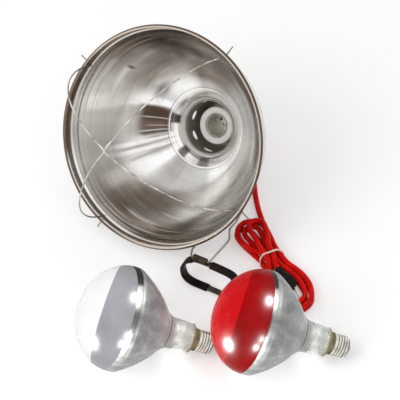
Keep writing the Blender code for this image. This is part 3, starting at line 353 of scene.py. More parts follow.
def inset(profile, wall):
    """The profile moved to its left-hand side by the wall, point by point."""
    moved = []
    for i, (r, z) in enumerate(profile):
        before = Vector(profile[max(i - 1, 0)])
        after = Vector(profile[min(i + 1, len(profile) - 1)])
        run = (after - before).normalized()
        moved.append((r + run.y * wall, z - run.x * wall))
    return moved


def fine_profile(profile, count):
    """A profile of (radius, height) as a smooth curve of that many points."""
    return [(max(p.x, 0.0), p.y) for p in smooth([Vector((r, z, 0.0)) for r, z in profile], count)]


def rounded(profile, radius, closed=False, steps=4):
    """A profile or outline with its corners turned into arcs."""
    points = [Vector((x, y, 0.0)) for x, y in profile]
    if closed:
        middle = (points[0] + points[-1]) / 2
        points = [middle] + points + [middle]
    result = filleted(points, [radius] * (len(points) - 2), steps)
    return [(p.x, p.y) for p in (result[:-1] if closed else result)]


def arc(wide, tall, start, stop, steps, r=0.0, z=0.0):
    """Points along an ellipse's arc between two angles."""
    turns = [start + (stop - start) * k / steps for k in range(steps + 1)]
    return [(r + wide * math.cos(a), z + tall * math.sin(a)) for a in turns]


def oval(width, height, sides):
    return arc(width / 2, height / 2, 0.0, math.tau, sides)[:-1]


def rectangle(width, height):
    x, y = width / 2, height / 2
    return [(-x, -y), (x, -y), (x, y), (-x, y)]


def box_outline(width, height, corner, steps=3):
    return rounded(rectangle(width, height), corner, True, steps)


def solid(name, vertices, faces, place=None, angle=sharp_angle, tones=None):
    """An object made of those faces, smooth up to the sharp angle."""
    mesh = bpy.data.meshes.new(name)
    mesh.from_pydata([tuple(v) for v in vertices], [], faces)
    if tones:
        mesh.polygons.foreach_set("material_index", tones)
    work = bmesh.new()
    work.from_mesh(mesh)
    bmesh.ops.recalc_face_normals(work, faces=work.faces)
    work.to_mesh(mesh)
    work.free()
    mesh.shade_smooth()
    mesh.set_sharp_from_angle(angle=math.radians(angle))
    obj = bpy.data.objects.new(name, mesh)
    bpy.context.scene.collection.objects.link(obj)
    if place:
        obj.matrix_world = place
    return obj


def lathe(name, profile, steps, place=None, closed=False, shape=None, tone=None, angle=sharp_angle):
    """A profile of (radius, height) turned about the local Z axis; shape may move a point by its turn."""
    vertices, faces, rings, tones = [], [], [], []
    for radius, height in profile:
        ring = []
        for i in range(1 if radius < 1e-7 else steps):
            turn = math.tau * i / steps
            r, z = shape(radius, height, turn) if shape else (radius, height)
            ring.append(len(vertices))
            vertices.append((r * math.cos(turn), r * math.sin(turn), z))
        rings.append(ring)
    joined = list(zip(rings, rings[1:])) + ([(rings[-1], rings[0])] if closed else [])
    for k, (a, b) in enumerate(joined):
        if len(a) == 1 and len(b) == 1:
            continue
        for i in range(steps):
            j = (i + 1) % steps
            if len(a) == 1:
                faces.append((a[0], b[i], b[j]))
            elif len(b) == 1:
                faces.append((a[i], b[0], a[j]))
            else:
                faces.append((a[i], b[i], b[j], a[j]))
            tones.append(tone(k) if tone else 0)
    return solid(name, vertices, faces, place, angle, tones if tone else None)


def turned_sides(points):
    """The way ahead at each point, and a direction across it carried along without twist."""
    ahead = [(b - a).normalized() for a, b in zip(points[:1] + points[:-1], points[1:] + points[-1:])]
    side = ahead[0].orthogonal().normalized()
    sides = [side]
    for a, b in zip(ahead, ahead[1:]):
        side = a.rotation_difference(b) @ side
        sides.append((side - b * side.dot(b)).normalized())
    return ahead, sides


def skin(rows, sides):
    """The faces round equal rows of points, and one over each end."""
    faces = []
    for i in range(0, (rows - 1) * sides, sides):
        for s in range(sides):
            n = (s + 1) % sides
            faces.append((i + s, i + n, i + sides + n, i + sides + s))
    return faces + [tuple(range(sides)), tuple(range((rows - 1) * sides, rows * sides))]


def tube(name, points, radius, sides=12, place=None, radii=None):
    """A round rod along the path, with domed ends."""
    ahead, across = turned_sides(points)
    rows = [(p, i, 1.0) for i, p in enumerate(points)]
    for k in (1, 2, 3):
        a = math.radians(28 * k)
        out = radius * 0.5 * math.sin(a)
        rows.insert(0, (points[0] - ahead[0] * out, 0, math.cos(a)))
        rows.append((points[-1] + ahead[-1] * out, len(points) - 1, math.cos(a)))
    vertices = []
    for point, i, share in rows:
        r = (radii[i] if radii else radius) * share
        through = ahead[i].cross(across[i])
        vertices += [point + across[i] * x + through * y for x, y in oval(2 * r, 2 * r, sides)]
    return solid(name, vertices, skin(len(rows), sides), place)


def swept(name, path, side, outer, inner=(), closed=False, widths=None, place=None, angle=sharp_angle):
    """A section carried along a path: its first axis stays on the side direction."""
    vertices, faces = [], []
    rounds = [outer, inner] if inner else [outer]
    count, corners = len(path), len(outer)
    for i, point in enumerate(path):
        ahead = path[(i + 1) % count] if closed else path[min(i + 1, count - 1)]
        behind = path[i - 1] if closed else path[max(i - 1, 0)]
        through = (ahead - behind).normalized().cross(side).normalized()
        scale = widths[i] if widths else 1.0
        for section in rounds:
            vertices += [point + side * (x * scale) + through * y for x, y in section]
    stride = corners * len(rounds)
    for i in range(count if closed else count - 1):
        j = (i + 1) % count
        for part in range(len(rounds)):
            for k in range(corners):
                a, b = part * corners + k, part * corners + (k + 1) % corners
                faces.append((i * stride + a, i * stride + b, j * stride + b, j * stride + a))
    for i in () if closed else (0, count - 1):
        start = i * stride
        if inner:
            for k in range(corners):
                n = (k + 1) % corners
                faces.append((start + k, start + n, start + corners + n, start + corners + k))
        else:
            faces.append(tuple(start + k for k in range(corners)))
    return solid(name, vertices, faces, place, angle)


def slab(name, outline, thickness, place):
    """A flat outline with both faces."""
    vertices = [(x, y, z) for z in (-thickness / 2, thickness / 2) for x, y in outline]
    return solid(name, vertices, skin(2, len(outline)), place)


def soften(obj, width):
    """Bevels the sharp edges."""
    change = obj.modifiers.new("edges", "BEVEL")
    change.width = width
    change.segments = 2
    change.limit_method = "ANGLE"
    change.angle_limit = math.radians(sharp_angle)


def cut(obj, cutters, operation="DIFFERENCE", angle=sharp_angle):
    """Carries out the Booleans and keeps only their result; the cutters are in the object's own space."""
    for cutter in cutters:
        cutter.matrix_world = obj.matrix_world.copy()
        change = obj.modifiers.new("cut", "BOOLEAN")
        change.operation = operation
        change.solver = "EXACT"
        change.object = cutter
    bpy.context.view_layer.update()
    graph = bpy.context.evaluated_depsgraph_get()
    mesh = bpy.data.meshes.new_from_object(obj.evaluated_get(graph))
    obj.modifiers.clear()
    old = obj.data
    mesh.name = obj.name
    obj.data = mesh
    bpy.data.meshes.remove(old)
    for cutter in cutters:
        used = cutter.data
        bpy.data.objects.remove(cutter)
        bpy.data.meshes.remove(used)
    mesh.shade_smooth()
    mesh.set_sharp_from_angle(angle=math.radians(angle))
    return obj


def rod(name, start, end, radius, sides=16):
    """A straight round bar, used as a cutter."""
    run = (end - start).normalized()
    side = run.orthogonal().normalized()
    return swept(name, [start, end], side, oval(2 * radius, 2 * radius, sides))


def settle(obj):
    """Keeps each point's own place for the materials, then lays the mesh in the shared frame."""
    mesh = obj.data
    places = [0.0] * (3 * len(mesh.vertices))
    mesh.vertices.foreach_get("co", places)
    mesh.attributes.new("place", "FLOAT_VECTOR", "POINT").data.foreach_set("vector", places)
    mesh.transform(obj.matrix_world)
    obj.matrix_world = Matrix()


def fit(obj, looks, body, slot, *nodes):
    """Gives a piece its materials and its body, and hides the solids that it stands for; its finish slot is
    not used.
    """
    settle(obj)
    for look in looks if isinstance(looks, (list, tuple)) else [looks]:
        obj.data.materials.append(look)
    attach(obj, body)
    if nodes:
        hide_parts(*nodes)
    return obj


def heading(turn, rise=0.0):
    """The direction with that turn from +X and that rise above the floor."""
    return Vector((math.cos(rise) * math.cos(turn), math.cos(rise) * math.sin(turn), math.sin(rise)))


def facing(point, out):
    """A frame at the point, with its Z axis that way."""
    return Matrix.Translation(point) @ out.to_track_quat("Z", "Y").to_matrix().to_4x4()


def lamp_frame():
    """The bowl's own frame: Z out of its mouth, X along the bail's hinge."""
    mouth = heading(mouth_heading, mouth_tilt)
    level = UP.cross(mouth).normalized()
    across = level * math.cos(hinge_roll) + mouth.cross(level) * math.sin(hinge_roll)
    turn = Matrix((across, mouth.cross(across), mouth)).transposed().to_4x4()
    return Matrix.Translation(rim_centre) @ turn


def around(radius, turn, depth):
    """A point of the lamp, that deep behind its rim."""
    return Vector((radius * math.cos(turn), radius * math.sin(turn), -depth))


LAMP = lamp_frame()
BULB_OUT = heading(math.pi, bulb_tilt)
CLAMP_AHEAD = heading(clamp_heading)
CLAMP_SIDE = heading(clamp_heading + QUARTER)
PLUG_AXIS = heading(plug_heading, -plug_dip)


def camera():
    """The photograph's view: far off, looking down at the lamp."""
    made = bpy.data.objects.new("camera", bpy.data.cameras.new("camera"))
    bpy.context.scene.collection.objects.link(made)
    made.location = SHIFT + heading(-QUARTER, camera_elevation) * camera_distance
    made.rotation_euler = (QUARTER - camera_elevation, 0, 0)
    made.data.sensor_width = sensor
    made.data.lens = sensor * camera_distance / (frame_pixels * pixel)
    made.data.clip_start = 1.0
    made.data.clip_end = 40.0
    bpy.context.scene.camera = made


class Graph:
    """A node tree, built with short calls."""

    def __init__(self, tree):
        self.tree = tree

    def feed(self, socket, value):
        """Links another node's output, or sets a constant."""
        if isinstance(value, bpy.types.NodeSocket):
            self.tree.links.new(value, socket)
        elif socket.type == "RGBA" and isinstance(value, tuple):
            socket.default_value = (*value, 1.0)
        else:
            socket.default_value = value

    def node(self, kind, inputs=(), **settings):
        made = self.tree.nodes.new(kind)
        for name, value in settings.items():
            setattr(made, name, value)
        for key, value in dict(inputs).items():
            self.feed(made.inputs[key], value)
        return made

    def math(self, operation, *values):
        return self.node("ShaderNodeMath", dict(enumerate(values)), operation=operation).outputs[0]

    def plus(self, first, second):
        return self.math("ADD", first, second)

    def times(self, first, second):
        return self.math("MULTIPLY", first, second)

    def between(self, value, low, high, to_low=0.0, to_high=1.0, smooth=False):
        return self.node("ShaderNodeMapRange", {
            "Value": value, "From Min": low, "From Max": high, "To Min": to_low, "To Max": to_high,
        }, interpolation_type="SMOOTHSTEP" if smooth else "LINEAR").outputs["Result"]

    def seen(self):
        """1 for the rays that look at a surface, 0 for those that light the scene."""
        rays = self.node("ShaderNodeLightPath").outputs
        seen = self.math("MAXIMUM", rays["Is Camera Ray"], rays["Is Glossy Ray"])
        return self.math("MAXIMUM", seen, rays["Is Transmission Ray"])


class Look(Graph):
    """A material whose patterns lie on each point's own place in its piece."""

    def __init__(self, name, **sockets):
        self.material = bpy.data.materials.new(name)
        self.material.use_nodes = True
        super().__init__(self.material.node_tree)
        self.shader = self.tree.nodes["Principled BSDF"]
        for socket, value in sockets.items():
            self.shader.inputs[socket.replace("_", " ")].default_value = value
        self.place = self.node("ShaderNodeAttribute", attribute_name="place").outputs["Vector"]

    def vector(self, operation, *values):
        made = self.node("ShaderNodeVectorMath", dict(enumerate(values)), operation=operation)
        return made.outputs["Value" if operation == "DOT_PRODUCT" else "Vector"]

    def noise(self, scale, detail=3.0, rough=0.55, where=None, distortion=0.0):
        return self.node("ShaderNodeTexNoise", {
            "Vector": where or self.place, "Scale": scale, "Detail": detail, "Roughness": rough,
            "Distortion": distortion,
        }).outputs["Fac"]

    def pattern(self, kind, output, scale, **inputs):
        return self.node(kind, {"Vector": self.place, "Scale": scale, **inputs}).outputs[output]

    def stretched(self, x, y, z):
        """The place scaled apart along its axes, for brushed or drawn grain."""
        return self.vector("MULTIPLY", self.place, (x, y, z))

    def only_z(self, value, scale):
        """A point on the Z axis, so that a noise there varies with that value alone."""
        return self.node("ShaderNodeCombineXYZ", {"Z": self.times(value, scale)}).outputs["Vector"]

    def part(self, axis):
        return self.node("ShaderNodeSeparateXYZ", {"Vector": self.place}).outputs[axis]

    def reach(self):
        """The distance from the piece's own Z axis."""
        x, y = self.part("X"), self.part("Y")
        return self.math("SQRT", self.plus(self.times(x, x), self.times(y, y)))

    def turn(self, wobble=0.0):
        """The turn round the piece's own Z axis, as a share of the whole circle."""
        share = self.math("DIVIDE", self.math("ARCTAN2", self.part("Y"), self.part("X")), math.tau)
        return self.math("FRACT", self.plus(self.plus(share, wobble), 1.0))

    def spread(self, noise, low=0.0, high=1.0):
        """The middle of a noise spread out between two values."""
        return self.between(noise, 0.3, 0.7, low, high)

    def jitter(self, scale, size, detail=2.0):
        return self.between(self.noise(scale, detail), 0.0, 1.0, -size, size)

    def ramp(self, value, stops, interpolation="LINEAR"):
        made = self.node("ShaderNodeValToRGB", {"Fac": value})
        made.color_ramp.interpolation = interpolation
        elements = made.color_ramp.elements
        while len(elements) < len(stops):
            elements.new(0.5)
        for element, (at, colour) in zip(elements, stops):
            element.position = at
            element.color = (*colour, 1.0)
        return made.outputs["Color"]

    def mix(self, share, first, second, blend="MIX"):
        inputs = {0: share, 6: first, 7: second}
        return self.node("ShaderNodeMix", inputs, data_type="RGBA", blend_type=blend).outputs[2]

    def to(self, socket, value):
        self.feed(self.shader.inputs[socket], value)

    def finish(self, tone, rough, height, strength, distance):
        """Connects the colour, the roughness and the bump."""
        bump = self.node("ShaderNodeBump", {"Height": height, "Strength": strength, "Distance": distance})
        self.to("Base Color", tone)
        self.to("Roughness", rough)
        self.to("Normal", bump.outputs["Normal"])
        return self.material


def worn(name, low, high, rough, grain, depth=0.0002, mottle=30.0, where=(1, 1, 1), **sockets):
    """Two tones mottled together, uneven gloss and a fine grain."""
    look = Look(name, **sockets)
    broad = look.noise(mottle, 4.0, 0.6)
    fine = look.noise(grain, 3.0, 0.6, look.stretched(*where))
    both = look.plus(look.times(broad, 0.5), look.times(fine, 0.5))
    return look.finish(look.mix(look.spread(broad), low, high), look.spread(both, *rough), fine, 0.5, depth)


# The bowl's reflections: turns in degrees, with 90 at the top of the picture and 180 at its left
BROWN = (0.25, 0.185, 0.145)
WARM_BROWN = (0.31, 0.225, 0.175)
UMBER = (0.070, 0.040, 0.026)
GREY = (0.44, 0.42, 0.385)
SHEEN = (0.60, 0.585, 0.56)
PALE = (0.76, 0.745, 0.715)
WHITE = (1.0, 0.99, 0.97)
# Turn, half width, start, end, blur, share, lean; start and end are shares of the rim's radius
GLEAMS = (
    (WARM_BROWN, (72, 40, 0.82, 0.99, 14, 0.6), (225, 34, 0.84, 0.99, 14, 0.5)),
    (BROWN, (204, 14, 0.78, 0.90, 8, 0.2), (134, 28, 0.945, 1.02, 10, 0.75)),
    (WHITE, (192, 28, 0.93, 1.02, 8, 0.8)),
    (GREY, (100, 16, 0.64, 0.80, 8, 0.6)),
    (BROWN, (48, 22, 0.45, 0.62, 10, 0.6)),
    (SHEEN, (153, 14, 0.66, 0.92, 4, 0.75)),
    (WHITE, (88, 16, 0.36, 0.62, 8, 0.75)),
    (PALE, (113, 9, 0.56, 0.74, 6, 0.6)),
    (WHITE, (129, 4.6, 0.38, 0.92, 2.4, 1.0, 15)),
    (BROWN, (147, 13.5, 0.352, 0.68, 3.0, 0.45)),
    (UMBER, (146, 15, 0.352, 0.60, 2.0, 0.92)),
    (BROWN, (152, 5, 0.40, 0.60, 4, 0.45)),
    (PALE, (143, 0.7, 0.36, 0.58, 0.5, 0.5), (152, 0.6, 0.36, 0.54, 0.5, 0.35)),
    (PALE, (157, 0.8, 0.36, 0.60, 0.5, 0.55)),
    (WHITE, (166, 1.4, 0.34, 0.80, 1.0, 0.9)),
    (BROWN, (169.5, 1.0, 0.34, 0.74, 0.8, 0.55)),
    (WHITE, (173, 1.6, 0.34, 0.80, 1.0, 0.8, -4)),
    (GREY, (178, 1.2, 0.34, 0.70, 1.0, 0.7)),
    (WHITE, (186, 5.0, 0.36, 0.86, 3.0, 1.0, -4)),
    (GREY, (204, 9, 0.36, 0.66, 5, 0.6)),
    (BROWN, (214, 16, 0.64, 0.80, 8, 0.55)),
    (WHITE, (262, 13, 0.36, 0.60, 6, 0.9)),
    (PALE, (252, 22, 0.60, 0.66, 9, 0.6)),
    (GREY, (236, 18, 0.66, 0.70, 7, 0.6)),
    (PALE, (96, 13, 0.755, 0.775, 5, 0.55)),
    (GREY, (80, 26, 0.815, 0.83, 9, 0.7)),
    (WHITE, (118, 12, 0.77, 0.80, 4, 0.65)),
    (PALE, (112, 8, 0.86, 0.885, 3, 0.7)),
    (GREY, (62, 14, 0.87, 0.89, 6, 0.7)),
    (PALE, (216, 10, 0.845, 0.87, 4, 0.75)),
    (GREY, (240, 18, 0.80, 0.815, 7, 0.7), (262, 15, 0.87, 0.89, 5, 0.6)),
    (UMBER, (106, 1.2, 0.75, 0.79, 0.8, 0.8)),
    (PALE, (320, 34, 0.66, 0.69, 12, 0.5)),
    (GREY, (310, 30, 0.76, 0.78, 12, 0.6)),
    (PALE, (350, 30, 0.72, 0.74, 12, 0.5)),
    (GREY, (0, 30, 0.86, 0.875, 12, 0.7)),
    (WHITE, (268, 13, 0.76, 0.78, 5, 0.75)),
    (BROWN, (276, 12, 0.815, 0.83, 5, 0.7)),
    (PALE, (266, 14, 0.84, 0.855, 5, 0.8), (284, 12, 0.90, 0.915, 5, 0.8)),
    (BROWN, (290, 12, 0.865, 0.88, 5, 0.6)),
    (WHITE, (300, 14, 0.71, 0.73, 6, 0.6)),
    (PALE, (232, 9, 0.765, 0.78, 4, 0.6), (222, 8, 0.90, 0.915, 4, 0.5)),
    (WHITE, (14, 20, 0.70, 0.72, 8, 0.5)),
)
# Painted highlight and painted shade rings round the axis: reach, width, share, colour
LIT_AND_SHADED_RINGS = (
    (0.352, 0.007, 0.85, (0.95, 0.94, 0.91)), (0.366, 0.007, 0.45, (0.30, 0.27, 0.24)),
    (0.318, 0.006, 0.35, (0.42, 0.39, 0.36)), (0.254, 0.022, 0.95, (1.0, 1.0, 0.99)),
    (0.905, 0.006, 0.5, (0.80, 0.76, 0.70)), (0.955, 0.006, 0.55, (0.84, 0.79, 0.72)),
    (0.968, 0.006, 0.7, (0.16, 0.12, 0.09)),
)
# Painted reflections: how light the bowl is at each turn, on the cone, in the rings further out and in the
# bell
CONE_FANS = (
    (0, 0.62), (32, 0.44), (62, 0.50), (82, 0.92), (104, 0.78), (124, 0.66), (130, 0.20), (155, 0.17),
    (160, 0.80), (165, 0.38), (170, 0.85), (176, 0.48), (187, 0.95), (203, 0.50), (222, 0.58), (246, 0.66),
    (264, 0.90), (290, 0.76), (312, 0.86), (340, 0.66), (360, 0.62),
)
MIDDLE_FANS = (
    (0, 0.5), (32, 0.44), (62, 0.36), (84, 0.42), (102, 0.72), (122, 0.95), (136, 0.74), (154, 0.70),
    (163, 0.80), (172, 0.70), (187, 0.95), (204, 0.70), (224, 0.60), (242, 0.88), (262, 0.90), (288, 0.76),
    (312, 0.78), (336, 0.58), (360, 0.5),
)
BAND_FANS = (
    (0, 0.5), (32, 0.46), (58, 0.26), (84, 0.30), (104, 0.50), (122, 0.68), (138, 0.90), (154, 0.80),
    (170, 0.72), (186, 0.52), (206, 0.34), (222, 0.36), (242, 0.34), (262, 0.44), (282, 0.62), (300, 0.80),
    (320, 0.70), (340, 0.58), (360, 0.5),
)
BELL_FANS = (
    (0, 0.72), (40, 0.68), (80, 0.84), (118, 0.76), (129, 0.66), (134, 0.07), (145, 0.06), (150, 0.90),
    (164, 1.0), (187, 0.98), (193, 0.14), (202, 0.16), (208, 0.92), (224, 0.72), (233, 0.20), (244, 0.24),
    (252, 0.66), (285, 0.86), (320, 0.72), (360, 0.72),
)
# Tones of the rolled bead, for its painted reflections and painted shade
BEAD_DARK_REFLECTION_AND_SHADE = (0.14, 0.09, 0.065)
COPPER = (0.28, 0.21, 0.16)
HONEY = (0.74, 0.66, 0.57)
BRIGHT = (0.96, 0.94, 0.90)


def gleam(look, tone, turn, reach, colour, at, half, inner, outer, blur, share, lean=0.0):
    """One reflection: a fan between two reaches round the axis, leaning as it runs outward."""
    middle = look.between(reach, inner, outer, (at - lean / 2) / 360, (at + lean / 2) / 360)
    off = look.math("FRACT", look.plus(look.math("SUBTRACT", turn, middle), 1.5))
    off = look.math("ABSOLUTE", look.math("SUBTRACT", off, 0.5))
    across = look.between(off, max(half - blur, 0.0) / 360, (half + blur) / 360, 1.0, 0.0, smooth=True)
    soft = min(0.04, (outer - inner) / 2)
    start = look.between(reach, inner - soft, inner + soft, smooth=True)
    end = look.between(reach, outer - soft, outer + soft, share, 0.0, smooth=True)
    return look.mix(look.times(across, look.times(start, end)), tone, colour)


def fans(table):
    """(turn in degrees, tone) round the whole circle as ramp stops: the darker, the browner."""
    stops = []
    for turn, tone in table:
        brown = min(max((0.62 - tone) / 0.4, 0.0), 1.0)
        tint = (1.0, 0.985 - 0.105 * brown, 0.955 - 0.175 * brown)
        stops.append((turn / 360, tuple(tone * c for c in tint)))
    return stops


def bowl_polish():
    """Spun aluminium: painted reflections as fans of light and dark round the axis, painted highlight and
    shade rings, fine turning lines painted pale as highlights, and smudges.
    """
    look = Look("spun_aluminium", Anisotropic=0.55)
    reach = look.math("DIVIDE", look.reach(), rim_radius)
    turn = look.turn(look.jitter(11.0, 0.008))
    edge = look.plus(reach, look.jitter(9.0, 0.035))
    # painted reflections: fans of light and dark round the axis
    tone = look.ramp(turn, fans(CONE_FANS), "EASE")
    for table, inner, outer in ((MIDDLE_FANS, 0.50, 0.60), (BAND_FANS, 0.70, 0.86)):
        further = look.ramp(turn, fans(table), "EASE")
        tone = look.mix(look.between(edge, inner, outer, smooth=True), tone, further)
    bell = look.ramp(turn, fans(BELL_FANS), "EASE")
    tone = look.mix(look.between(reach, 0.335, 0.352, smooth=True), bell, tone)
    for colour, *patches in GLEAMS:
        for patch in patches:
            tone = gleam(look, tone, turn, edge, colour, *patch)
    unit = look.vector("NORMALIZE", look.stretched(1.0, 1.0, 0.0))
    rings, spokes = [
        look.noise(1.0, 3.0, 0.6, look.vector(
            "ADD", look.vector("MULTIPLY", unit, (wide, wide, 0.0)), look.only_z(reach, fine),
        ))
        for wide, fine in ((0.8, 34.0), (6.0, 1.2))
    ]
    uneven = look.plus(look.spread(rings, 0.92, 1.05), look.spread(spokes, -0.08, 0.06))
    tone = look.mix(1.0, tone, uneven, "MULTIPLY")
    # turning lines near the rim, painted pale as highlights
    outer = look.between(edge, 0.76, 0.90, smooth=True)
    lines = look.times(look.between(rings, 0.56, 0.64, 0.0, 0.7, smooth=True), outer)
    tone = look.mix(lines, tone, (0.72, 0.69, 0.64))
    # painted highlight and painted shade rings at set reaches
    for at, width, share, colour in LIT_AND_SHADED_RINGS:
        away = look.math("ABSOLUTE", look.math("SUBTRACT", reach, at))
        tone = look.mix(look.between(away, width * 0.3, width, share, 0.0, smooth=True), tone, colour)
    smudge = look.noise(24.0, 4.0, 0.55, distortion=0.5)
    tone = look.mix(look.between(smudge, 0.55, 0.75, 0.0, 0.14), tone, (0.50, 0.45, 0.40))
    look.to("Metallic", look.between(reach, 0.258, 0.275, 0.15, 1.0, smooth=True))
    mouth = tuple(LAMP.to_3x3() @ UP)
    facing_out = look.node("ShaderNodeNewGeometry").outputs["Normal"]
    look.to("Tangent", look.vector("NORMALIZE", look.vector("CROSS_PRODUCT", mouth, facing_out)))
    grooves = look.noise(1.0, 2.0, 0.5, look.only_z(reach, 240.0))
    rough = look.between(look.plus(smudge, rings), 0.7, 1.3, 0.14, 0.27)
    return look.finish(tone, rough, look.plus(look.times(grooves, 0.15), rings), 0.06, 0.0003)


def rim_look():
    """The rolled bead: painted reflections change its tones round the rim, and painted shade darkens it
    outward.
    """
    look = Look("rim_bead", Metallic=1.0)
    across = look.between(look.reach(), rim_radius - 2 * bead_radius, rim_radius)
    turn = look.turn()
    # painted reflections round the rim
    inside, top = [look.ramp(turn, [(at / 360, tone) for at, tone in stops]) for stops in (
        (
            (0, COPPER), (100, COPPER), (118, BEAD_DARK_REFLECTION_AND_SHADE), (160, BEAD_DARK_REFLECTION_AND_SHADE), (168, BRIGHT), (212, BRIGHT),
            (228, HONEY), (285, HONEY), (310, COPPER), (360, COPPER),
        ),
        (
            (0, HONEY), (100, HONEY), (120, COPPER), (162, BEAD_DARK_REFLECTION_AND_SHADE), (212, BEAD_DARK_REFLECTION_AND_SHADE), (230, HONEY),
            (360, HONEY),
        ),
    )]
    tone = look.mix(look.between(across, 0.14, 0.28, smooth=True), inside, top)
    # painted shade: the bead darkens towards its outer side
    tone = look.mix(look.between(across, 0.50, 0.68), tone, BEAD_DARK_REFLECTION_AND_SHADE)
    tone = look.mix(look.between(across, 0.68, 1.0), tone, (0.06, 0.035, 0.025))
    tone = look.mix(look.between(look.noise(9.0, 3.0, 0.6), 0.4, 0.7, 0.0, 0.35), tone, COPPER)
    rough = look.spread(look.noise(120.0), 0.18, 0.36)
    return look.finish(tone, rough, look.noise(500.0, 2.0), 0.08, 0.0001)


def guard_look():
    """Plated wire: bright where it crosses the bowl, duller where it hooks out over the rim."""
    look = Look("guard_wire", Metallic=1.0)
    patches = look.between(look.noise(60.0, 3.0), 0.35, 0.65)
    bright = look.mix(patches, (0.34, 0.30, 0.26), (0.86, 0.82, 0.76))
    dull = look.mix(patches, (0.16, 0.13, 0.10), (0.46, 0.40, 0.34))
    out = look.vector("DOT_PRODUCT", look.place, tuple(heading(sum(guard_turns) / 2 + QUARTER)))
    hooked = look.between(out, 0.38 * rim_radius, 0.48 * rim_radius, smooth=True)
    tail = look.between(look.reach(), 0.96 * rim_radius, 0.99 * rim_radius)
    tone = look.mix(look.math("MAXIMUM", hooked, tail), bright, dull)
    rough = look.spread(look.noise(320.0), 0.16, 0.34)
    return look.finish(tone, rough, look.noise(320.0, 2.0), 0.2, 0.0001)


def silvering(name, place, edge, dark_reflection_depths):
    """The mirrored back of a reflector bulb: cloudy, with turned rings at the neck, and painted dark
    reflections beside the face's edge.
    """
    look = Look(name, Metallic=0.12, Specular_IOR_Level=0.05)
    cloud = look.noise(26.0, 4.0, 0.55, distortion=0.5)
    streak = look.noise(1.0, 3.0, 0.6, look.stretched(70.0, 70.0, 8.0))
    both = look.plus(look.times(cloud, 0.5), look.times(streak, 0.5))
    depth = look.part("Z")
    tone = look.ramp(look.between(both, 0.34, 0.66), (
        (0.0, (0.23, 0.23, 0.23)), (0.4, (0.33, 0.335, 0.33)), (0.7, (0.40, 0.405, 0.40)),
        (1.0, (0.62, 0.63, 0.62)),
    ))
    tone = look.mix(look.between(depth, -0.020, -0.060, 0.0, 0.35, smooth=True), tone, (0.56, 0.57, 0.55))
    up = place.to_3x3().inverted() @ Vector((0, math.sin(camera_elevation), math.cos(camera_elevation)))
    height = look.math("DIVIDE", look.vector("DOT_PRODUCT", look.place, tuple(up)), bulb_radius)
    # painted dark reflections: a sliver at the top and a wedge lower down, beside the face's edge
    behind = look.plus(look.math("SUBTRACT", edge, depth), look.jitter(30.0, 0.0025, 3.0))
    side = look.between(behind, dark_reflection_depths[0], dark_reflection_depths[0] + 0.0015, 1.0, 0.0, smooth=True)
    painted_top_reflection = look.times(side, look.between(height, 0.58, 0.66, smooth=True))
    tone = look.mix(painted_top_reflection, tone, (0.035, 0.033, 0.034))
    low = look.between(height, -0.30, -0.24, smooth=True)
    low = look.times(low, look.between(height, 0.10, 0.24, 1.0, 0.0))
    side = look.between(behind, dark_reflection_depths[1] * 0.6, dark_reflection_depths[1], 1.0, 0.0, smooth=True)
    tone = look.mix(look.times(look.times(low, side), 0.75), tone, (0.09, 0.09, 0.095))
    rings = look.noise(1.0, 2.0, 0.5, look.only_z(depth, 330.0))
    from_neck = look.math("ABSOLUTE", look.plus(depth, 0.060))
    joint = look.between(from_neck, 0.005, 0.012, 0.9, 0.0, smooth=True)
    tone = look.mix(look.times(joint, look.between(rings, 0.42, 0.50, 1.0, 0.0)), tone, (0.10, 0.095, 0.065))
    height = look.plus(look.noise(110.0, 3.0), look.times(rings, joint))
    return look.finish(tone, look.spread(cloud, 0.22, 0.38), height, 0.10, 0.0005)


def dome_look(name, lit, dark, place, plane, offset):
    """The coated face of a bulb with a painted reflection: its lit and its dark part meet on a sharp line.
    """
    look = Look(name, Specular_IOR_Level=0.04)
    across = Vector((0, 1, 0))
    slope = across * plane[0] + BULB_OUT.cross(across) * plane[1] + BULB_OUT * plane[2]
    normal = place.to_3x3().inverted() @ slope
    height = look.plus(look.vector("DOT_PRODUCT", look.place, tuple(normal)), look.jitter(9.0, 0.0006))
    # painted reflection: lit above the tilted plane, dark below it
    painted_reflection_zone = look.between(height, offset - 0.0004, offset + 0.0004, smooth=True)
    shade = look.mix(look.spread(look.noise(26.0, 4.0, 0.6)), *dark)
    glow = look.mix(look.spread(look.noise(12.0, 2.0)), *lit)
    rough = look.spread(look.noise(70.0), 0.24, 0.30)
    return look.finish(look.mix(painted_reflection_zone, shade, glow), rough, look.noise(220.0, 2.0), 0.02, 0.0003)


def base_metal():
    """Plated shell of a bulb's base: bright ridges, painted shade in the valleys."""
    look = Look("bulb_base_metal", Metallic=1.0)
    ridge = look.between(look.reach(), base_radius + 0.03 * MM, base_radius + 0.24 * MM, smooth=True)
    middle, half = (base_start + base_end) / 2, (base_end - base_start) / 2 - 3.2 * MM
    along = look.math("ABSOLUTE", look.plus(look.part("Z"), middle))
    ridge = look.math("MAXIMUM", ridge, look.between(along, half, half + 0.8 * MM, smooth=True))
    speck = look.noise(90.0, 4.0, 0.6)
    bright = look.mix(look.between(speck, 0.35, 0.7), (0.52, 0.49, 0.42), (0.86, 0.84, 0.78))
    # painted shade in the thread's valleys
    tone = look.mix(ridge, (0.13, 0.11, 0.08), bright)
    return look.finish(tone, look.between(ridge, 0.0, 1.0, 0.45, 0.2), speck, 0.1, 0.0002)


def neck_glass():
    """Old, faintly grey glass, thick enough to haze."""
    look = Look("neck_glass", Transmission_Weight=0.7, IOR=1.45)
    streak = look.noise(40.0, 4.0, 0.6)
    tone = look.mix(look.between(streak, 0.35, 0.65), (0.50, 0.51, 0.49), (0.90, 0.91, 0.89))
    return look.finish(tone, look.spread(streak, 0.05, 0.22), look.noise(90.0, 2.0), 0.15, 0.0004)


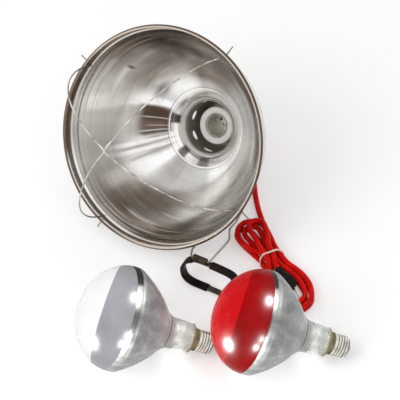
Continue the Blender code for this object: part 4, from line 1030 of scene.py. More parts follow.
def glaze():
    """White porcelain: warm, faintly mottled, with a glossy coat and small pits."""
    look = Look("porcelain_glaze", Coat_Weight=0.7, Coat_Roughness=0.08)
    cloud = look.noise(60.0, 4.0, 0.6)
    tone = look.mix(look.spread(cloud), (0.70, 0.67, 0.62), (0.82, 0.80, 0.77))
    pits = look.pattern("ShaderNodeTexVoronoi", "Distance", 520.0)
    tone = look.mix(look.between(pits, 0.02, 0.08, 0.5, 0.0), tone, (0.32, 0.28, 0.23))
    return look.finish(tone, look.spread(cloud, 0.22, 0.42), look.noise(300.0, 3.0), 0.12, 0.0002)


def housing_look():
    """Browned steel, drawn round its axis and paler in patches."""
    look = Look("housing_metal", Metallic=0.6, Specular_IOR_Level=0.3)
    drawn = look.noise(1.0, 4.0, 0.65, look.stretched(18.0, 18.0, 520.0))
    tone = look.ramp(look.between(look.noise(34.0, 4.0, 0.6), 0.25, 0.75), (
        (0.0, (0.25, 0.21, 0.18)), (0.5, (0.39, 0.34, 0.30)), (1.0, (0.56, 0.51, 0.46)),
    ))
    tone = look.mix(look.spread(drawn, 0.0, 0.35), tone, (0.50, 0.45, 0.40))
    return look.finish(tone, look.spread(drawn, 0.25, 0.48), drawn, 0.3, 0.0002)


def jacket():
    """Glossy cord jacket: saturated, in two near reds."""
    look = Look("cord_jacket", Specular_IOR_Level=0.07)
    tone = look.mix(look.spread(look.noise(70.0, 4.0, 0.6)), (0.56, 0.002, 0.002), (0.78, 0.010, 0.006))
    rough = look.spread(look.noise(210.0), 0.26, 0.42)
    return look.finish(tone, rough, look.noise(420.0, 3.0, 0.6), 0.25, 0.00025)


def sheen_vinyl():
    """Black dipped vinyl with a brownish painted sheen in patches and small dimples."""
    look = Look("dipped_vinyl", Specular_IOR_Level=0.07)
    # painted sheen: brownish patches
    painted_sheen = look.between(look.noise(55.0, 4.0, 0.6), 0.35, 0.7)
    tone = look.mix(painted_sheen, (0.004, 0.003, 0.003), (0.026, 0.015, 0.011))
    dimples = look.pattern("ShaderNodeTexVoronoi", "Distance", 900.0)
    return look.finish(tone, look.spread(look.noise(180.0), 0.28, 0.48), dimples, 0.2, 0.00015)


def ribbed_cloth():
    """A thin tie: pale, with a fine woven bump."""
    look = Look("tie_band", Coat_Weight=0.1)
    weave = look.pattern("ShaderNodeTexWave", "Fac", 420.0, Distortion=1.5)
    tone = look.mix(look.spread(look.noise(120.0, 3.0)), (0.80, 0.52, 0.45), (0.92, 0.78, 0.70))
    return look.finish(tone, look.between(weave, 0.0, 1.0, 0.45, 0.7), weave, 0.3, 0.0002)


RED_BULB, CLEAR_BULB = facing(red_bulb_seat, BULB_OUT), facing(clear_bulb_seat, BULB_OUT)
BOWL = bowl_polish()
RIM = rim_look()
HOUSING = housing_look()
PORCELAIN = glaze()
GUARD_WIRE = guard_look()
VINYL = sheen_vinyl()
JACKET = jacket()
TIE = ribbed_cloth()
# the last pair sets how deep the painted dark reflections reach
RED_SILVER = silvering("red_bulb_silver", RED_BULB, red_face_end, (0.0045, 0.0015))
CLEAR_SILVER = silvering("clear_bulb_silver", CLEAR_BULB, clear_face_end, (0.007, 0.008))
NECK = neck_glass()
# faces with painted reflections: lit tones, then dark tones
RED_FACE = dome_look(
    "red_coated_face", ((0.58, 0.002, 0.006), (0.68, 0.005, 0.010)), ((0.29, 0.0, 0.0), (0.42, 0.0, 0.001)),
    RED_BULB, (0.24, 0.24, 0.941), 22.4 * MM,
)
CLEAR_FACE = dome_look(
    "frosted_face", ((0.93, 0.93, 0.94), (0.98, 0.98, 0.985)), ((0.33, 0.34, 0.36), (0.43, 0.44, 0.47)),
    CLEAR_BULB, (0.293, 0.28, 0.914), 18.7 * MM,
)
BASE = base_metal()
BRASS, STEEL, STRAP, BLADE, WIRE = [worn(*row, Metallic=metal) for metal, *row in (
    (0.85, "nickelled_brass", (0.50, 0.47, 0.41), (0.84, 0.82, 0.76), (0.22, 0.4), 160.0, 0.00006, 30.0),
    (1.0, "plated_wire", (0.20, 0.16, 0.125), (0.50, 0.44, 0.37), (0.22, 0.42), 320.0, 0.0001, 45.0),
    (1.0, "browned_strap", (0.035, 0.024, 0.018), (0.16, 0.115, 0.085), (0.28, 0.5), 240.0, 0.0002, 60.0),
    (1.0, "plug_blade", (0.55, 0.50, 0.40), (0.82, 0.78, 0.68), (0.16, 0.34), 420.0, 0.0001, 90.0),
    (1.0, "drawn_tungsten", (0.20, 0.19, 0.18), (0.42, 0.41, 0.40), (0.25, 0.45), 500.0, 0.00005, 90.0),
)]
BACK = worn(
    "bowl_outside", (0.55, 0.54, 0.51), (0.82, 0.81, 0.78), (0.16, 0.32), 1.0, 0.00012, 12.0, (30, 30, 700),
    Metallic=1.0, Anisotropic=0.4,
)
CEMENT = worn(
    "base_cement", (0.12, 0.10, 0.04), (0.34, 0.30, 0.15), (0.5, 0.8), 400.0, 0.0003, 120.0,
    Specular_IOR_Level=0.1,
)
BLACK_GLASS = worn(
    "black_glass", (0.006, 0.006, 0.008), (0.03, 0.028, 0.03), (0.08, 0.25), 200.0, 0.0001, 80.0,
    Coat_Weight=1.0,
)
STEM = worn(
    "stem_glass", (0.80, 0.80, 0.78), (0.95, 0.95, 0.93), (0.02, 0.12), 120.0, 0.0001, 60.0,
    Transmission_Weight=0.85,
)
PLUG = worn(
    "moulded_black", (0.003, 0.003, 0.003), (0.014, 0.011, 0.010), (0.26, 0.46), 700.0, 0.00012, 90.0,
    Specular_IOR_Level=0.07,
)
WHITE_LEAD = worn("white_lead", (0.58, 0.57, 0.54), (0.78, 0.77, 0.74), (0.3, 0.5), 300.0, 0.0001, 90.0)


def exit_point():
    """Where the cord starts, at the end of the strain relief."""
    return LAMP @ around(relief_out + gap, exit_turn, exit_depth)


def hank_place(along, across, height):
    """A point of the hank: its upper and its lower half have headings of their own."""
    turn = upper_heading if along < 0 else lower_heading
    return waist_centre + heading(turn) * along + heading(turn + QUARTER) * across + UP * height


def hank_path():
    """The hank's loops, then the run into the plug."""
    route = []
    for run, layer in hank_runs:
        for along, across in run:
            lift = waist_lift * (1 - ramp(abs(along * MM), 0, waist_reach))
            route.append(hank_place(along * MM, across * MM, cord_rest + layer * layer_rise + lift))
    rear = hank_place(*plug_rear)
    route += [rear - PLUG_AXIS * cord_radius * 2.6, rear - PLUG_AXIS * gap]
    return smooth(route, hank_points)


def lead_path(hank):
    """The cord from the strain relief to the hank."""
    start = exit_point()
    out = LAMP.to_3x3() @ around(1.0, exit_turn, 0)
    into = hank[0] - hank[1]
    into.z = 0
    into.normalize()
    route = [start, start + out * cord_radius]
    route += [Vector(p) * MM + SHIFT for p in lead_route]
    route += [hank[0] + into * cord_radius * 2, hank[0] + into * gap]
    return smooth(route, lead_points)


def plug():
    """The moulded plug, ridged where it is gripped, and its blades."""
    rear = hank_place(*plug_rear)
    side = PLUG_AXIS.cross(UP).normalized()
    up = side.cross(PLUG_AXIS)
    rows = []
    for before, after in zip(plug_shares, plug_shares[1:]):
        rows += [[a + (b - a) * k / 4 for a, b in zip(before, after)] for k in range(4)]
    rows.append(plug_shares[-1])
    vertices = []
    for share, wide, tall in rows:
        ridge = 0.035 * math.sin(share * 150) if 0.05 < share < 0.27 else 0.0
        corner = plug_height * tall * 0.26
        section = box_outline(plug_width * (wide + ridge), plug_height * (tall + ridge), corner)
        vertices += [rear + PLUG_AXIS * (plug_length * share) + side * x + up * y for x, y in section]
    body = solid("plug_moulding", vertices, skin(len(rows), len(section)), angle=50)
    pieces = [fit(body, PLUG, "lamp", "vinyl", "plug_body")]
    section = box_outline(blade_width, blade_thickness, 0.3 * MM)
    for name, hand in (("left", -1), ("right", 1)):
        base = rear + PLUG_AXIS * (plug_length + gap) + side * (hand * blade_spacing / 2)
        path = [base + PLUG_AXIS * (blade_length * s) for s in (0.0, 0.3, 0.6, 0.86, 0.93, 0.97, 1.0)]
        blade = swept("blade_" + name, path, up, section, widths=[1.0, 1.0, 1.0, 1.0, 0.94, 0.82, 0.62])
        middle = base + PLUG_AXIS * (blade_length * 0.72)
        cut(blade, [rod("blade_hole", middle - side * 4 * MM, middle + side * 4 * MM, blade_hole, 18)])
        pieces.append(fit(blade, BLADE, "lamp", "steel", "plug_blade_" + name))
    return pieces


def tie():
    """A flat band round the hank's waist, closed over its highest turns."""
    low = cord_gap + tie_thickness / 2
    high = cord_rest + waist_lift + 2 * layer_rise + cord_radius + low
    left, right = tie_across
    turn, mid = tie_corner, low + (high - low) * 0.66
    corners = [
        (left + turn, low), (right - turn, low), (right - turn * 0.25, low + turn * 0.3),
        (right, low + turn), (right, mid - turn), (right - turn * 0.4, mid),
        (right - turn * 2.0, high - turn * 0.3), (right - turn * 2.8, high),
        (left + turn * 1.4, high), (left + turn * 0.8, high - turn * 0.3),
        (left, mid), (left, low + turn), (left + turn * 0.25, low + turn * 0.3),
    ]
    path = [hank_place(0.0, q, z) for q, z in corners]
    middle = (path[0] + path[-1]) / 2
    path = filleted([middle] + path + [middle], [1.6 * MM] * len(path), 4)[:-1]
    section = box_outline(tie_width, tie_thickness, 0.35 * MM)
    band = swept("hank_band", path, heading(lower_heading), section, closed=True)
    return fit(band, TIE, "lamp", "tie", "hank_tie")


def cord_piece():
    """The whole cord as one piece, with its plug and its tie."""
    hank = hank_path()
    path = spaced(lead_path(hank) + hank, cord_points)
    cable = tube("mains_cord", path, cord_radius, 20)
    others = plug() + [tie()]
    fit(cable, JACKET, "lamp", "cord_jacket", "cord", "cord_hank")


# Lamp
def reflector():
    """The spun bowl: its bead, then its outer side with pressed rings, then its inner side."""
    bead = arc(bead_radius, -bead_radius, -math.pi, math.pi / 3, 20, rim_radius - bead_radius, -bead_radius)
    side = [(r * rim_radius, -d * bowl_depth) for d, r in bowl_shares]
    side += [(lip_radius, -bowl_depth), (lip_radius, -lip_depth)]

    def ringed(line):
        rows = []
        for r, z in fine_profile(line, 150):
            away = [((z + d * bowl_depth) / ridge_width, height) for d, height in bowl_ridges]
            rows.append((r - sum(height * MM * math.exp(-share * share) for share, height in away), z))
        return rows

    outside = ringed(side)
    profile = bead + outside + ringed(inset(side, bowl_wall))[::-1]
    start, stop = len(bead) - 1, len(bead) + len(outside) - 1
    tone = lambda k: 1 if k < start or k == len(profile) - 1 else 2 if k < stop else 0
    obj = lathe("spun_reflector", profile, 192, LAMP, True, tone=tone, angle=50)
    holes = []
    for turn in guard_turns:
        for end in (turn, turn + math.pi):
            a, b = [around(r, end, band_hole_depth) for r in (guard_span, rim_radius + guard_tail)]
            holes.append(rod("hole", a, b, guard_radius + gap, 12))
    cut(obj, holes, angle=50)
    fit(obj, [BOWL, RIM, BACK], "lamp", "bowl", "reflector")


def housing():
    """The cup behind the bowl, with its vents and the hole that the cord leaves by."""
    corner = [(r * cup_radius, -cup_depth + d * cup_corner) for d, r in cup_corner_shares[::-1]]
    outside = [(cup_radius, -cup_start), (cup_radius, -cup_start - 1.5 * MM)]
    outside += fine_profile(corner, 12) + [(rear_hole, -cup_depth)]
    inside = inset(outside, cup_wall)
    inside[-1] = (rear_hole, -cup_depth + cup_wall)
    inside[0] = (cup_radius - cup_wall, -cup_start)
    obj = lathe("vented_housing", outside + inside[::-1], 120, LAMP, True)
    cutters = []
    for i in range(vents):
        turn = vent_turn + math.tau * i / vents
        through = [around(cup_radius * s, turn, vent_depth) for s in (0.8, 1.3)]
        cutters.append(swept("vent", through, UP, oval(vent_width, vent_length, 28)))
    through = [around(cup_radius * s, exit_turn, exit_depth) for s in (0.8, 1.3)]
    cutters.append(rod("exit", *through, exit_hole, 28))
    cut(obj, cutters)
    fit(obj, HOUSING, "lamp", "housing", "socket_housing")


def porcelain():
    """The socket's body: a grooved ring in front, a stepped back and the bore for the shell."""
    boss_back = cup_depth - cup_wall - gap
    pilot = boss_back - (boss_back - bore_floor) * 0.75
    groove, groove_half = bore_radius + 2.3 * MM, 0.35 * MM
    profile = [
        (bore_radius, -bore_floor), (bore_radius, -face_depth - 1.2 * MM),
        (bore_radius + 1.0 * MM, -face_depth), (groove - groove_half, -face_depth),
        (groove, -face_depth - 2 * groove_half), (groove + groove_half, -face_depth),
        (flange_radius - 1.2 * MM, -face_depth), (flange_radius, -face_depth - 1.4 * MM),
        (flange_radius, -flange_back), (body_radius, -flange_back - 1.0 * MM), (body_radius, -body_back),
        (boss_radius, -body_back), (boss_radius, -boss_back), (rear_hole, -boss_back), (rear_hole, -pilot),
    ]
    rows = [(0, -bore_floor)] + rounded(profile, 0.5 * MM, steps=3) + [(0, -pilot)]
    obj = lathe("porcelain_socket", rows, 96, LAMP)
    fit(obj, PORCELAIN, "lamp", "porcelain", "socket_porcelain")


def threaded(name, root, start, stop, pitch, place, foot, steps=72):
    """A rolled sheet-metal screw thread: one helical ridge inside and out, then its foot."""
    rows = int((stop - start) / pitch * 10)
    zs = [-start - (stop - start) * i / rows for i in range(rows + 1)]
    fade = pitch * 0.6

    def wave(radius, z, turn):
        if radius < root * 0.9:
            return radius, z
        strength = min(1.0, max(0.0, (-z - start) / fade), max(0.0, (stop + z) / fade))
        phase = math.tau * (-z - start) / pitch - turn
        return radius + thread_height * strength * (0.5 - 0.5 * math.cos(phase)), z

    outer = [(root, z) for z in zs] + foot
    inner = [(r - shell_wall, z + (shell_wall if i > rows else 0)) for i, (r, z) in enumerate(outer[:-1])]
    inner.append((foot[-1][0], foot[-1][1] + shell_wall))
    return lathe(name, outer + inner[::-1], steps, place, True, shape=wave, angle=60)


def screw_shell():
    """The threaded shell that takes a bulb."""
    end = bore_floor - gap
    start = end - thread_pitch * (shell_turns + 0.5)
    foot = [(thread_radius * 0.985, -end), (shell_hole, -end)]
    obj = threaded("socket_shell", thread_radius, start, end - 0.8 * MM, thread_pitch, LAMP, foot)
    fit(obj, BRASS, "lamp", "brass", "screw_shell")


def rivets():
    seat = bore_floor - gap - shell_wall - gap
    dome = arc(rivet_radius, rivet_radius * 0.6, QUARTER, 0.0, 8)
    for name, turn in (("upper", rivet_turn), ("lower", rivet_turn + math.pi)):
        place = LAMP @ Matrix.Translation(around(rivet_offset, turn, seat))
        obj = lathe("rivet_" + name, dome + [(rivet_radius * 0.98, 0.0), (0, 0)], 24, place)
        fit(obj, STRAP, "lamp", "strap", "shell_rivet_" + name)


def contact_tab():
    """The sprung tab that a bulb's contact presses on."""
    half, floor = shell_hole * 0.8, -bore_floor + gap
    flat = floor + tab_thickness / 2
    route = [Vector((x * half, 0, z)) for x, z in (
        (-1.0, flat), (-0.4, flat), (0.0, floor + tab_rise * 0.6), (0.5, floor + tab_rise),
        (0.9, floor + tab_rise * 0.9),
    )]
    path = filleted(route, [1.2 * MM] * 3, 4)
    widths = [1.0] * (len(path) - 3) + [0.96, 0.85, 0.66]
    section = box_outline(tab_width, tab_thickness, 0.2 * MM)
    obj = swept("contact_tab", path, Vector((0, 1, 0)), section, widths=widths, place=LAMP)
    fit(obj, BRASS, "lamp", "brass", "centre_contact")


def slotted(obj, top, radius, depth=0.7 * MM, width=0.9 * MM):
    """A screwdriver slot across a head that faces along the local Z axis."""
    ends = [Vector((radius * s, 0, top)) for s in (-1.3, 1.3)]
    return cut(obj, [swept("slot", ends, Vector((0, 1, 0)), rectangle(width, 2 * depth))])


def screws():
    """The rear mounting screw, then the two that hold the wires."""
    back, shank = cup_depth + gap, rear_hole - gap
    tip = back - gap - cup_wall - gap - (cup_depth - cup_wall - gap - bore_floor) * 0.6
    edge, dome = 4.0 * MM, 1.1 * MM
    profile = [(0, -tip), (shank * 0.7, -tip), (shank, -tip - 0.4 * MM), (shank, -back), (edge, -back)]
    profile += arc(edge, -dome, 0.0, QUARTER, 7, 0.0, -back - dome)
    obj = lathe("mounting_screw_head", profile, 40, LAMP)
    slotted(obj, -back - 2 * dome, edge)
    fit(obj, STEEL, "lamp", "steel", "mounting_screw")
    shares = ((0, 0), (0.8, 0), (0.95, 0.1), (1, 0.3), (1, 0.9), (0.95, 1), (0, 1))
    profile = [(r * terminal_radius, -d * terminal_height) for r, d in shares]
    for name, turn in terminal_turns.items():
        place = LAMP @ Matrix.Translation(around(terminal_offset, turn, body_back + gap))
        obj = lathe("terminal_" + name, profile, 32, place)
        slotted(obj, -terminal_height, terminal_radius, 0.5 * MM, 0.8 * MM)
        fit(obj, BRASS, "lamp", "brass", "terminal_screw_" + name)


def conductors():
    """The cord's two wires, from inside the strain relief to the terminals; their ends are stripped."""
    inner = relief_out * relief_shares[0][0] - gap
    depth = body_back + gap + terminal_height / 2
    for name, step, look in (("right", 1, PLUG), ("left", -1, WHITE_LEAD)):
        turn = terminal_turns[name]
        side = around(step * conductor_radius * 1.3, exit_turn + QUARTER, 0)
        route = [
            around(inner, exit_turn, exit_depth) + side,
            around(inner - conductor_radius * 2, exit_turn, exit_depth) + side,
            around(body_radius * 1.3, (turn + exit_turn) / 2, exit_depth + conductor_radius * 6),
            around(terminal_edge + conductor_radius * 4, turn, depth - conductor_radius * 0.4),
            around(terminal_edge + conductor_radius * 2, turn, depth),
            around(terminal_edge + gap, turn, depth),
        ]
        radii = [conductor_radius] * 36 + [conductor_radius * 0.72] * 8
        obj = tube("inner_lead_" + name, smooth(route, len(radii)), conductor_radius, 14, LAMP, radii)
        fit(obj, look, "lamp", "cord_jacket", "conductor_" + name)


def guards():
    """The two bowed wires: each hooks through the band at both ends, and they kink where they cross."""
    for name, turn, height, push in zip(("high", "low"), guard_turns, guard_heights, (1, -1)):
        across = around(guard_span, turn, 0).normalized()
        aside = UP.cross(across)
        arch = []
        for i in range(97):
            angle = math.pi * i / 96
            point = across * (guard_span * math.cos(angle)) + UP * (height * math.sin(angle))
            run = (angle - QUARTER) * guard_span / kink_length
            kink = push * kink_height * run * math.exp(-run * run * 0.5)
            waver = guard_waver * math.sin(angle * 7 + turn) * math.sin(angle) ** 2
            arch.append(point + aside * (kink + waver))
        hook = [across * out - UP * down for out, down in (
            (rim_radius + guard_tail, band_hole_depth), (guard_span + guard_bend, band_hole_depth),
            (guard_span + guard_bend * 0.3, band_hole_depth - guard_bend * 0.35),
            (guard_span, band_hole_depth - guard_bend),
        )]
        away = [Vector((-p.x, -p.y, p.z)) for p in hook]
        path = filleted(hook + arch[:1], [1.5 * MM] * 3, 4)[:-1] + arch
        path += filleted(arch[-1:] + away[::-1], [1.5 * MM] * 3, 4)[1:]
        obj = tube("guard_" + name, path, guard_radius, 14, LAMP)
        fit(obj, GUARD_WIRE, "lamp", "steel", "guard_wire_" + name)


def collar_outline(inside, outside, ear):
    """The split ring from above: two tabs at its gap, and an ear on each side for the bail."""
    half_ear = math.asin(ear_half / outside)
    half_slot = math.asin(slot_half / inside)
    half_tab = math.asin((slot_half + strap_wall) / outside)
    lug = inside + tab_out
    outline = [(slot_half, lug), (slot_half + strap_wall, lug)]
    turn = QUARTER - half_tab
    for middle, hand in ((0.0, 1), (-math.pi, -1)):
        outline += arc(outside, outside, turn, middle + half_ear, 19)
        outline += [(hand * ear, hand * ear_half), (hand * ear, -hand * ear_half)]
        turn = middle - half_ear
    outline += arc(outside, outside, turn, QUARTER + half_tab - math.tau, 19)
    outline += [(-slot_half - strap_wall, lug), (-slot_half, lug)]
    return outline + arc(inside, inside, QUARTER + half_slot, QUARTER - half_slot + math.tau, 80)


def collar():
    """The pivot collar, and the screw and nut that close it on the neck."""
    inside = lip_radius + gap
    outside = inside + strap_wall
    ear = outside + 2.9 * MM
    middle = -collar_start - collar_length / 2
    outline = collar_outline(inside, outside, ear)
    obj = slab("hinge_collar", outline, collar_length, LAMP @ Matrix.Translation((0, 0, middle)))
    near, far = Vector((inside - strap_wall, 0, 0)), Vector((ear + strap_wall, 0, 0))
    cutters = [rod("ear_hole", near * s, far * s, bail_radius + 1.5 * gap, 20) for s in (-1, 1)]
    tab = Vector((0, inside + screw_out, 0))
    reach_out = Vector((slot_half + strap_wall * 2, 0, 0))
    cutters.append(rod("tab_hole", tab - reach_out, tab + reach_out, screw_radius + gap, 20))
    cut(obj, cutters)
    soften(obj, 0.25 * MM)
    fit(obj, STEEL, "lamp", "steel", "pivot_collar")

    grip = slot_half + strap_wall + gap
    lie = LAMP @ Matrix.Translation((0, inside + screw_out, middle)) @ Matrix.Rotation(QUARTER, 4, "Y")
    tip = -grip - strap_wall * 3
    root, pitch = screw_radius - screw_thread, 0.7 * MM
    rows = int((grip - tip) / (pitch / 6))
    profile = arc(screw_head, strap_wall, QUARTER, 0.0, 7, 0.0, grip + strap_wall * 0.8)
    profile += [(screw_head, grip), (screw_radius, grip)]
    profile += [(root, grip - (grip - tip) * k / rows) for k in range(1, rows)]
    profile += [(screw_radius * 0.8, tip), (0, tip)]

    def ridge(r, z, turn):
        if abs(r - root) > 1e-6:
            return r, z
        return r + screw_thread * (0.5 + 0.5 * math.cos(math.tau * z / pitch - turn)), z

    obj = lathe("collar_screw_head", profile, 28, lie, shape=ridge)
    slotted(obj, grip + strap_wall * 1.8, screw_head)
    fit(obj, STEEL, "lamp", "steel", "collar_screw")
    place = lie @ Matrix.Translation((0, 0, -grip - strap_wall))
    nut = slab("collar_nut_hex", oval(2 * nut_radius, 2 * nut_radius, 6), strap_wall, place)
    cut(nut, [rod("nut_hole", UP * -5 * MM, UP * 5 * MM, screw_radius + gap * 0.5, 28)])
    soften(nut, 0.3 * MM)
    fit(nut, STEEL, "lamp", "steel", "collar_nut")


def relief():
    """The ribbed sleeve on the cord where it leaves the housing."""
    profile = [(r * relief_radius, s * relief_out) for s, r in relief_shares[::-1]]
    rows = [(0, relief_out)] + rounded(profile, 0.5 * MM, steps=3) + [(0, relief_shares[0][0] * relief_out)]
    place = facing(LAMP @ Vector((0, 0, -exit_depth)), LAMP.to_3x3() @ around(1.0, exit_turn, 0))
    fit(lathe("cord_relief", rows, 40, place), JACKET, "lamp", "cord_jacket", "strain_relief")


# Bail and clamp
def clamp_path(route, count):
    """A strap's route as a curve in the shared frame."""
    base = Vector((crossbar.x, crossbar.y, SHIFT.z))
    return smooth([base + CLAMP_AHEAD * (s * MM) + UP * (z * MM) for s, z in route], count)


def along_of(point):
    """How far ahead of the crossbar a point is."""
    return (point - crossbar).dot(CLAMP_AHEAD)


def cut_path(path, start, stop):
    """The stretch of a path between two distances along it."""
    result, run = [], 0.0
    for a, b in zip(path, path[1:]):
        step = (b - a).length
        if not result and run + step > start:
            result.append(a.lerp(b, (start - run) / step))
        if result and run + step >= stop:
            result.append(a.lerp(b, (stop - run) / step))
            return result
        if result:
            result.append(b)
        run += step
    return result


def bail():
    """One wire: from a hinge hole, down the bowl's side, through the barrel and back up."""
    bar = CLAMP_AHEAD * crossbar_half
    halves = []
    for hand, knee, end in ((-1, left_knee, -bar), (1, right_knee, bar)):
        half = [LAMP @ Vector((hand * bail_end, 0, -hinge_depth))]
        half += [LAMP @ (Vector((hand * u, -e, -d)) * MM) for e, d, u in leg_stations]
        halves.append(half + [Vector(knee) * MM + SHIFT, crossbar + end])
    leg = [bar_fillet] + [leg_fillet] * len(leg_stations) + [bar_fillet]
    path = filleted(halves[0] + halves[1][::-1], leg + leg[::-1], 9)
    fit(tube("bail_wire", path, bail_radius, 16), STEEL, "bail", "steel", "bail")


def strap(name, route, full, rise, fall):
    """A bent strap that changes to the full width between two stretches, in shares of the jaw's start."""
    path = clamp_path(route, 150)
    widths = []
    for point in path:
        s = along_of(point) / jaw_start
        widths.append(1.0 + (full / strap_width - 1.0) * (ramp(s, *rise) - ramp(s, *fall)))
    section = box_outline(strap_width, strap_thickness, 0.35 * MM)
    return swept(name, path, CLAMP_SIDE, section, widths=widths), path


def straps():
    """The clamp's two straps, one with the barrel and one with the window."""
    obj, path = strap("upper_strap", upper_route, neck_width, (0.62, 0.69), (0.86, 0.93))
    bar = CLAMP_AHEAD * barrel_half
    ends = [crossbar + bar * k for k in (-1, -0.96, 0.96, 1)]
    section = oval(barrel_width, barrel_height, 36)
    cut(obj, [swept("barrel", ends, CLAMP_SIDE, section, widths=[0.94, 1, 1, 0.94])], "UNION")
    cut(obj, [rod("bore", crossbar - bar * 1.4, crossbar + bar * 1.4, barrel_bore, 24)])
    fit(obj, STRAP, "clamp_upper", "strap", "clamp_upper_strap")
    obj, path = strap("lower_strap", lower_route, window_strap_width, (0.55, 0.64), (0.95, 0.99))
    middle = [p for p in path if 0.66 < along_of(p) / jaw_start < 0.94]
    section = box_outline(window_width, strap_thickness * 4, 0.6 * MM)
    cut(obj, [swept("window", middle, CLAMP_SIDE, section)])
    fit(obj, STRAP, "clamp_lower", "strap", "clamp_lower_strap")


def sleeve(name, route, start, stop, body, node):
    """A dipped sleeve over the strap: swollen a little at its ends."""
    inner = box_outline(*hollow_size, gap, 4)
    outer = box_outline(*sleeve_size, sleeve_size[1] * 0.42, 4)
    path = spaced(cut_path(clamp_path(route, 200), start, stop), 64)
    widths = [1.0 - 0.03 * (1 - min(i, 63 - i, 3) / 3) + 0.006 * math.sin(i * 0.9) for i in range(64)]
    fit(swept(name, path, CLAMP_SIDE, outer, inner, widths=widths, angle=60), VINYL, body, "vinyl", node)


def jaw_tip(name, route, body, node):
    """A dipped tip, closed at its end and hollow for the strap."""
    tail = [p for p in clamp_path(route, 44) if along_of(p) > jaw_start]
    stop = tail[-1] + CLAMP_AHEAD * (gap + sleeve_wall)
    rows = [tail[0].lerp(stop, t) for t in (0, 0.02, 0.3, 0.6, 0.85, 0.93, 0.98, 1.0)]
    widths = [0.96, 1.0, 1.0, 1.0, 1.0, 0.98, 0.9, 0.74]
    outer = box_outline(*sleeve_size, sleeve_size[1] * 0.36, 4)
    obj = swept(name, rows, CLAMP_SIDE, outer, widths=widths, angle=60)
    inner = [tail[0] - CLAMP_AHEAD * sleeve_wall, tail[-1] + CLAMP_AHEAD * gap]
    cut(obj, [swept("hollow", inner, CLAMP_SIDE, rectangle(*hollow_size))], angle=60)
    fit(obj, VINYL, body, "vinyl", node)


def clamp_soft():
    """The vinyl sleeves and the jaws' tips."""
    sleeve("bow_sleeve_upper", upper_route, 0.0, upper_bow_sleeve, "clamp_upper", "sleeve_bow_upper")
    sleeve("bow_sleeve_lower", lower_route, 0.0, lower_bow_sleeve, "clamp_lower", "sleeve_bow_lower")
    sleeve("arm_sleeve", upper_route, *arm_sleeve, "clamp_upper", "sleeve_arm")
    jaw_tip("tip_lower", upper_route, "clamp_upper", "jaw_tip_lower")
    jaw_tip("tip_upper", lower_route, "clamp_lower", "jaw_tip_upper")


# Bulbs; the collection holds the glass that the glints light
receivers = bpy.data.collections.new("glass_faces")


def envelope(name, face_end, looks, place, slot, body):
    """The glass: its face, its silvered back, its clear neck and the cement at the base."""
    dome = [(0.0, dome_height)] + arc(bulb_radius, dome_height, QUARTER, QUARTER / 90, 89)[1:]
    outside = dome + fine_profile([(r * bulb_radius, -d * bulb_back) for d, r in bulb_shares], 120)
    whole = inset(outside, glass_wall)
    whole[0] = (0.0, dome_height - glass_wall)
    whole[-1] = (outside[-1][0] - glass_wall, outside[-1][1])
    edges = (-face_end, silver_end, cement_start)
    bands = [sum(-z >= edge for edge in edges) for r, z in outside[:-1]]
    tones = bands + [3] + bands[::-1]
    tone = lambda k: tones[min(k, len(tones) - 1)]
    obj = lathe(name, outside + whole[::-1], 128, place, tone=tone, angle=60)
    fit(obj, looks, body, slot, body + "_glass")
    receivers.objects.link(obj)
    return obj


def filament(name, foot_radius, place):
    """The support wire inside the bulb, coiled over its middle."""
    near, half = foot_radius * 0.12, filament_half
    out = [(near, gap + 0.4 * MM), (near * 1.6, half * 0.4), (half, half)]
    route = [(-x, z) for x, z in out] + [(0, half * 1.1)] + out[::-1]
    path = smooth([Vector((x, 0, z - bulb_back / 2)) for x, z in route], 220)
    for i, p in enumerate(path):
        share = ramp(i, 60, 75) - ramp(i, 145, 160)
        path[i] = p + Vector((0, math.cos(i * 0.9), math.sin(i * 0.9))) * (0.35 * MM * share)
    return tube(name, path, 0.3 * MM, 6, place)


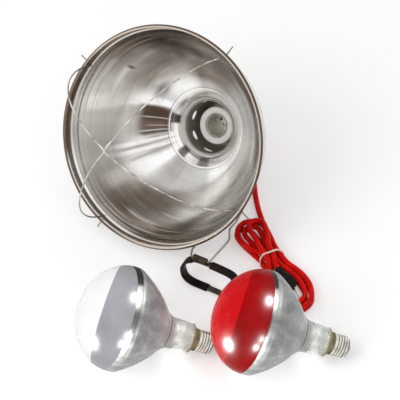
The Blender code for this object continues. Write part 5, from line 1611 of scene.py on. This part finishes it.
def bulb(colour, face, silver, glass_slot, place, face_end):
    """One loose bulb, from its glass to the contact of its base."""
    body = colour + "_bulb"
    obj = envelope(colour + "_envelope", face_end, [face, silver, NECK, CEMENT], place, glass_slot, body)
    obj.visible_glossy = colour != "red"
    pitch = (base_end - base_start) / (base_turns + 0.5)
    foot = [(base_radius * 0.99, -base_end + 1.2 * MM)]
    foot += [(base_radius * share, -base_end) for share in (0.93, 0.90)]
    start, stop = base_start + 1.2 * MM, base_end - 2.2 * MM
    obj = threaded(colour + "_base", base_radius, start, stop, pitch, place, foot, 96)
    fit(obj, BASE, body, "brass", body + "_base")
    wide = base_radius * 1.045
    rows = rounded([(r, z * MM - base_start) for r, z in (
        (base_radius - 0.9 * MM, -2.0), (base_radius - 0.7 * MM, 0.4), (base_radius, 0.9), (wide, 0.5),
        (wide, -0.9), (base_radius + 0.1 * MM, -1.2),
    )], 0.3 * MM)
    fit(lathe(colour + "_base_ring", rows, 72, place, True), CEMENT, body, "brass")
    top = base_end + gap
    side = [
        (base_radius * 0.9, -top), (base_radius * 0.85, -top - (insulator_end - top) * 0.3),
        (contact_radius * 1.1, -insulator_end),
    ]
    rows = [(0, -top)] + fine_profile(side, 14) + [(0, -insulator_end)]
    obj = lathe(colour + "_insulator", rows, 64, place)
    fit(obj, BLACK_GLASS, body, "black_glass", body + "_insulator")
    top = insulator_end + gap
    rows = [(contact_radius * r, z) for r, z in (
        (0, -top), (1, -top), (0.96, -top - 0.6 * MM), (0.7, -contact_end + 0.3 * MM), (0.35, -contact_end),
        (0, -contact_end),
    )]
    fit(lathe(colour + "_contact", rows, 48, place, angle=60), BASE, body, "brass", body + "_contact")
    foot_radius = base_radius - shell_wall - 0.84 * MM - glass_wall - gap
    side = [(r * foot_radius, -d * bulb_back) for d, r in stem_shares]
    rows = [(0, side[0][1])] + rounded(side, 2 * MM, steps=5) + [(0, side[-1][1])]
    fit(lathe(colour + "_stem", rows, 40, place), STEM, body, "clear_glass", body + "_stem")
    obj = filament(colour + "_filament_wire", foot_radius, place)
    fit(obj, WIRE, body, "strap", body + "_filament")


# Stage
def floor():
    """White paper that adds a little light of its own where it is seen."""
    obj = solid("floor", [(x, y, 0) for x, y in rectangle(12.0, 12.0)], [(0, 1, 2, 3)])
    obj.location.z = -0.2 * MM
    look = Look("floor_paper")
    tone = look.mix(look.spread(look.noise(3.0, 4.0)), (0.74, 0.74, 0.74), (0.76, 0.76, 0.76))
    look.finish(tone, 0.9, look.noise(300.0, 2.0), 0.05, 0.0002)
    glow = look.node("ShaderNodeEmission", {"Color": (1, 1, 1), "Strength": look.times(look.seen(), 0.33)})
    both = look.node("ShaderNodeAddShader", {0: look.shader.outputs["BSDF"], 1: glow.outputs["Emission"]})
    look.feed(look.tree.nodes["Material Output"].inputs["Surface"], both.outputs["Shader"])
    obj.data.materials.append(look.material)
    settle(obj)


def world():
    """An even white room, dimmer as a light than as a view."""
    made = bpy.data.worlds.new("studio")
    bpy.context.scene.world = made
    made.use_nodes = True
    studio = Graph(made.node_tree)
    back = studio.tree.nodes["Background"].inputs
    studio.feed(back["Color"], (1, 1, 1))
    studio.feed(back["Strength"], studio.between(studio.seen(), 0.0, 1.0, 0.72, 1.0))


def area(name, place, toward, size, power):
    """A round lamp that faces a point and isn't seen itself."""
    lamp = bpy.data.lights.new(name, "AREA")
    lamp.shape = "ELLIPSE"
    lamp.size = lamp.size_y = size
    lamp.energy = power
    obj = bpy.data.objects.new(name, lamp)
    bpy.context.scene.collection.objects.link(obj)
    obj.location = place
    obj.rotation_euler = (Vector(toward) - Vector(place)).to_track_quat("-Z", "Y").to_euler()
    obj.visible_camera = False
    return obj


def lights():
    """A soft key, and four lamps that only put a glint on the bulbs' glass."""
    middle = Vector((0.0, -0.10, 0.07))
    area("key", (-1.6, -1.2, 2.2), middle, 1.8, 26.0).visible_glossy = False
    for name, way, size, power in (
        ("glint_high", (0.29, 0.157, 0.943), 0.50, 1500.0),
        ("glint_left", (-0.885, -0.26, -0.38), 0.50, 1300.0),
        ("glint_front", (-0.134, -0.99, -0.026), 0.34, 700.0),
        ("glint_small", (0.065, -0.955, 0.29), 0.18, 520.0),
    ):
        lamp = area(name, middle + Vector(way) * 2.4, middle, size, power)
        lamp.visible_diffuse = lamp.visible_transmission = False
        lamp.light_linking.receiver_collection = lamp.light_linking.blocker_collection = receivers


for build in (
    camera, cord_piece, reflector, housing, porcelain, screw_shell, rivets, contact_tab, screws, conductors,
    guards, collar, relief, bail, straps, clamp_soft,
):
    build()
bulb("red", RED_FACE, RED_SILVER, "red_glass", RED_BULB, red_face_end)
bulb("clear", CLEAR_FACE, CLEAR_SILVER, "frosted_glass", CLEAR_BULB, clear_face_end)
floor()
world()
lights()
bpy.context.scene.view_settings.view_transform = "Standard"
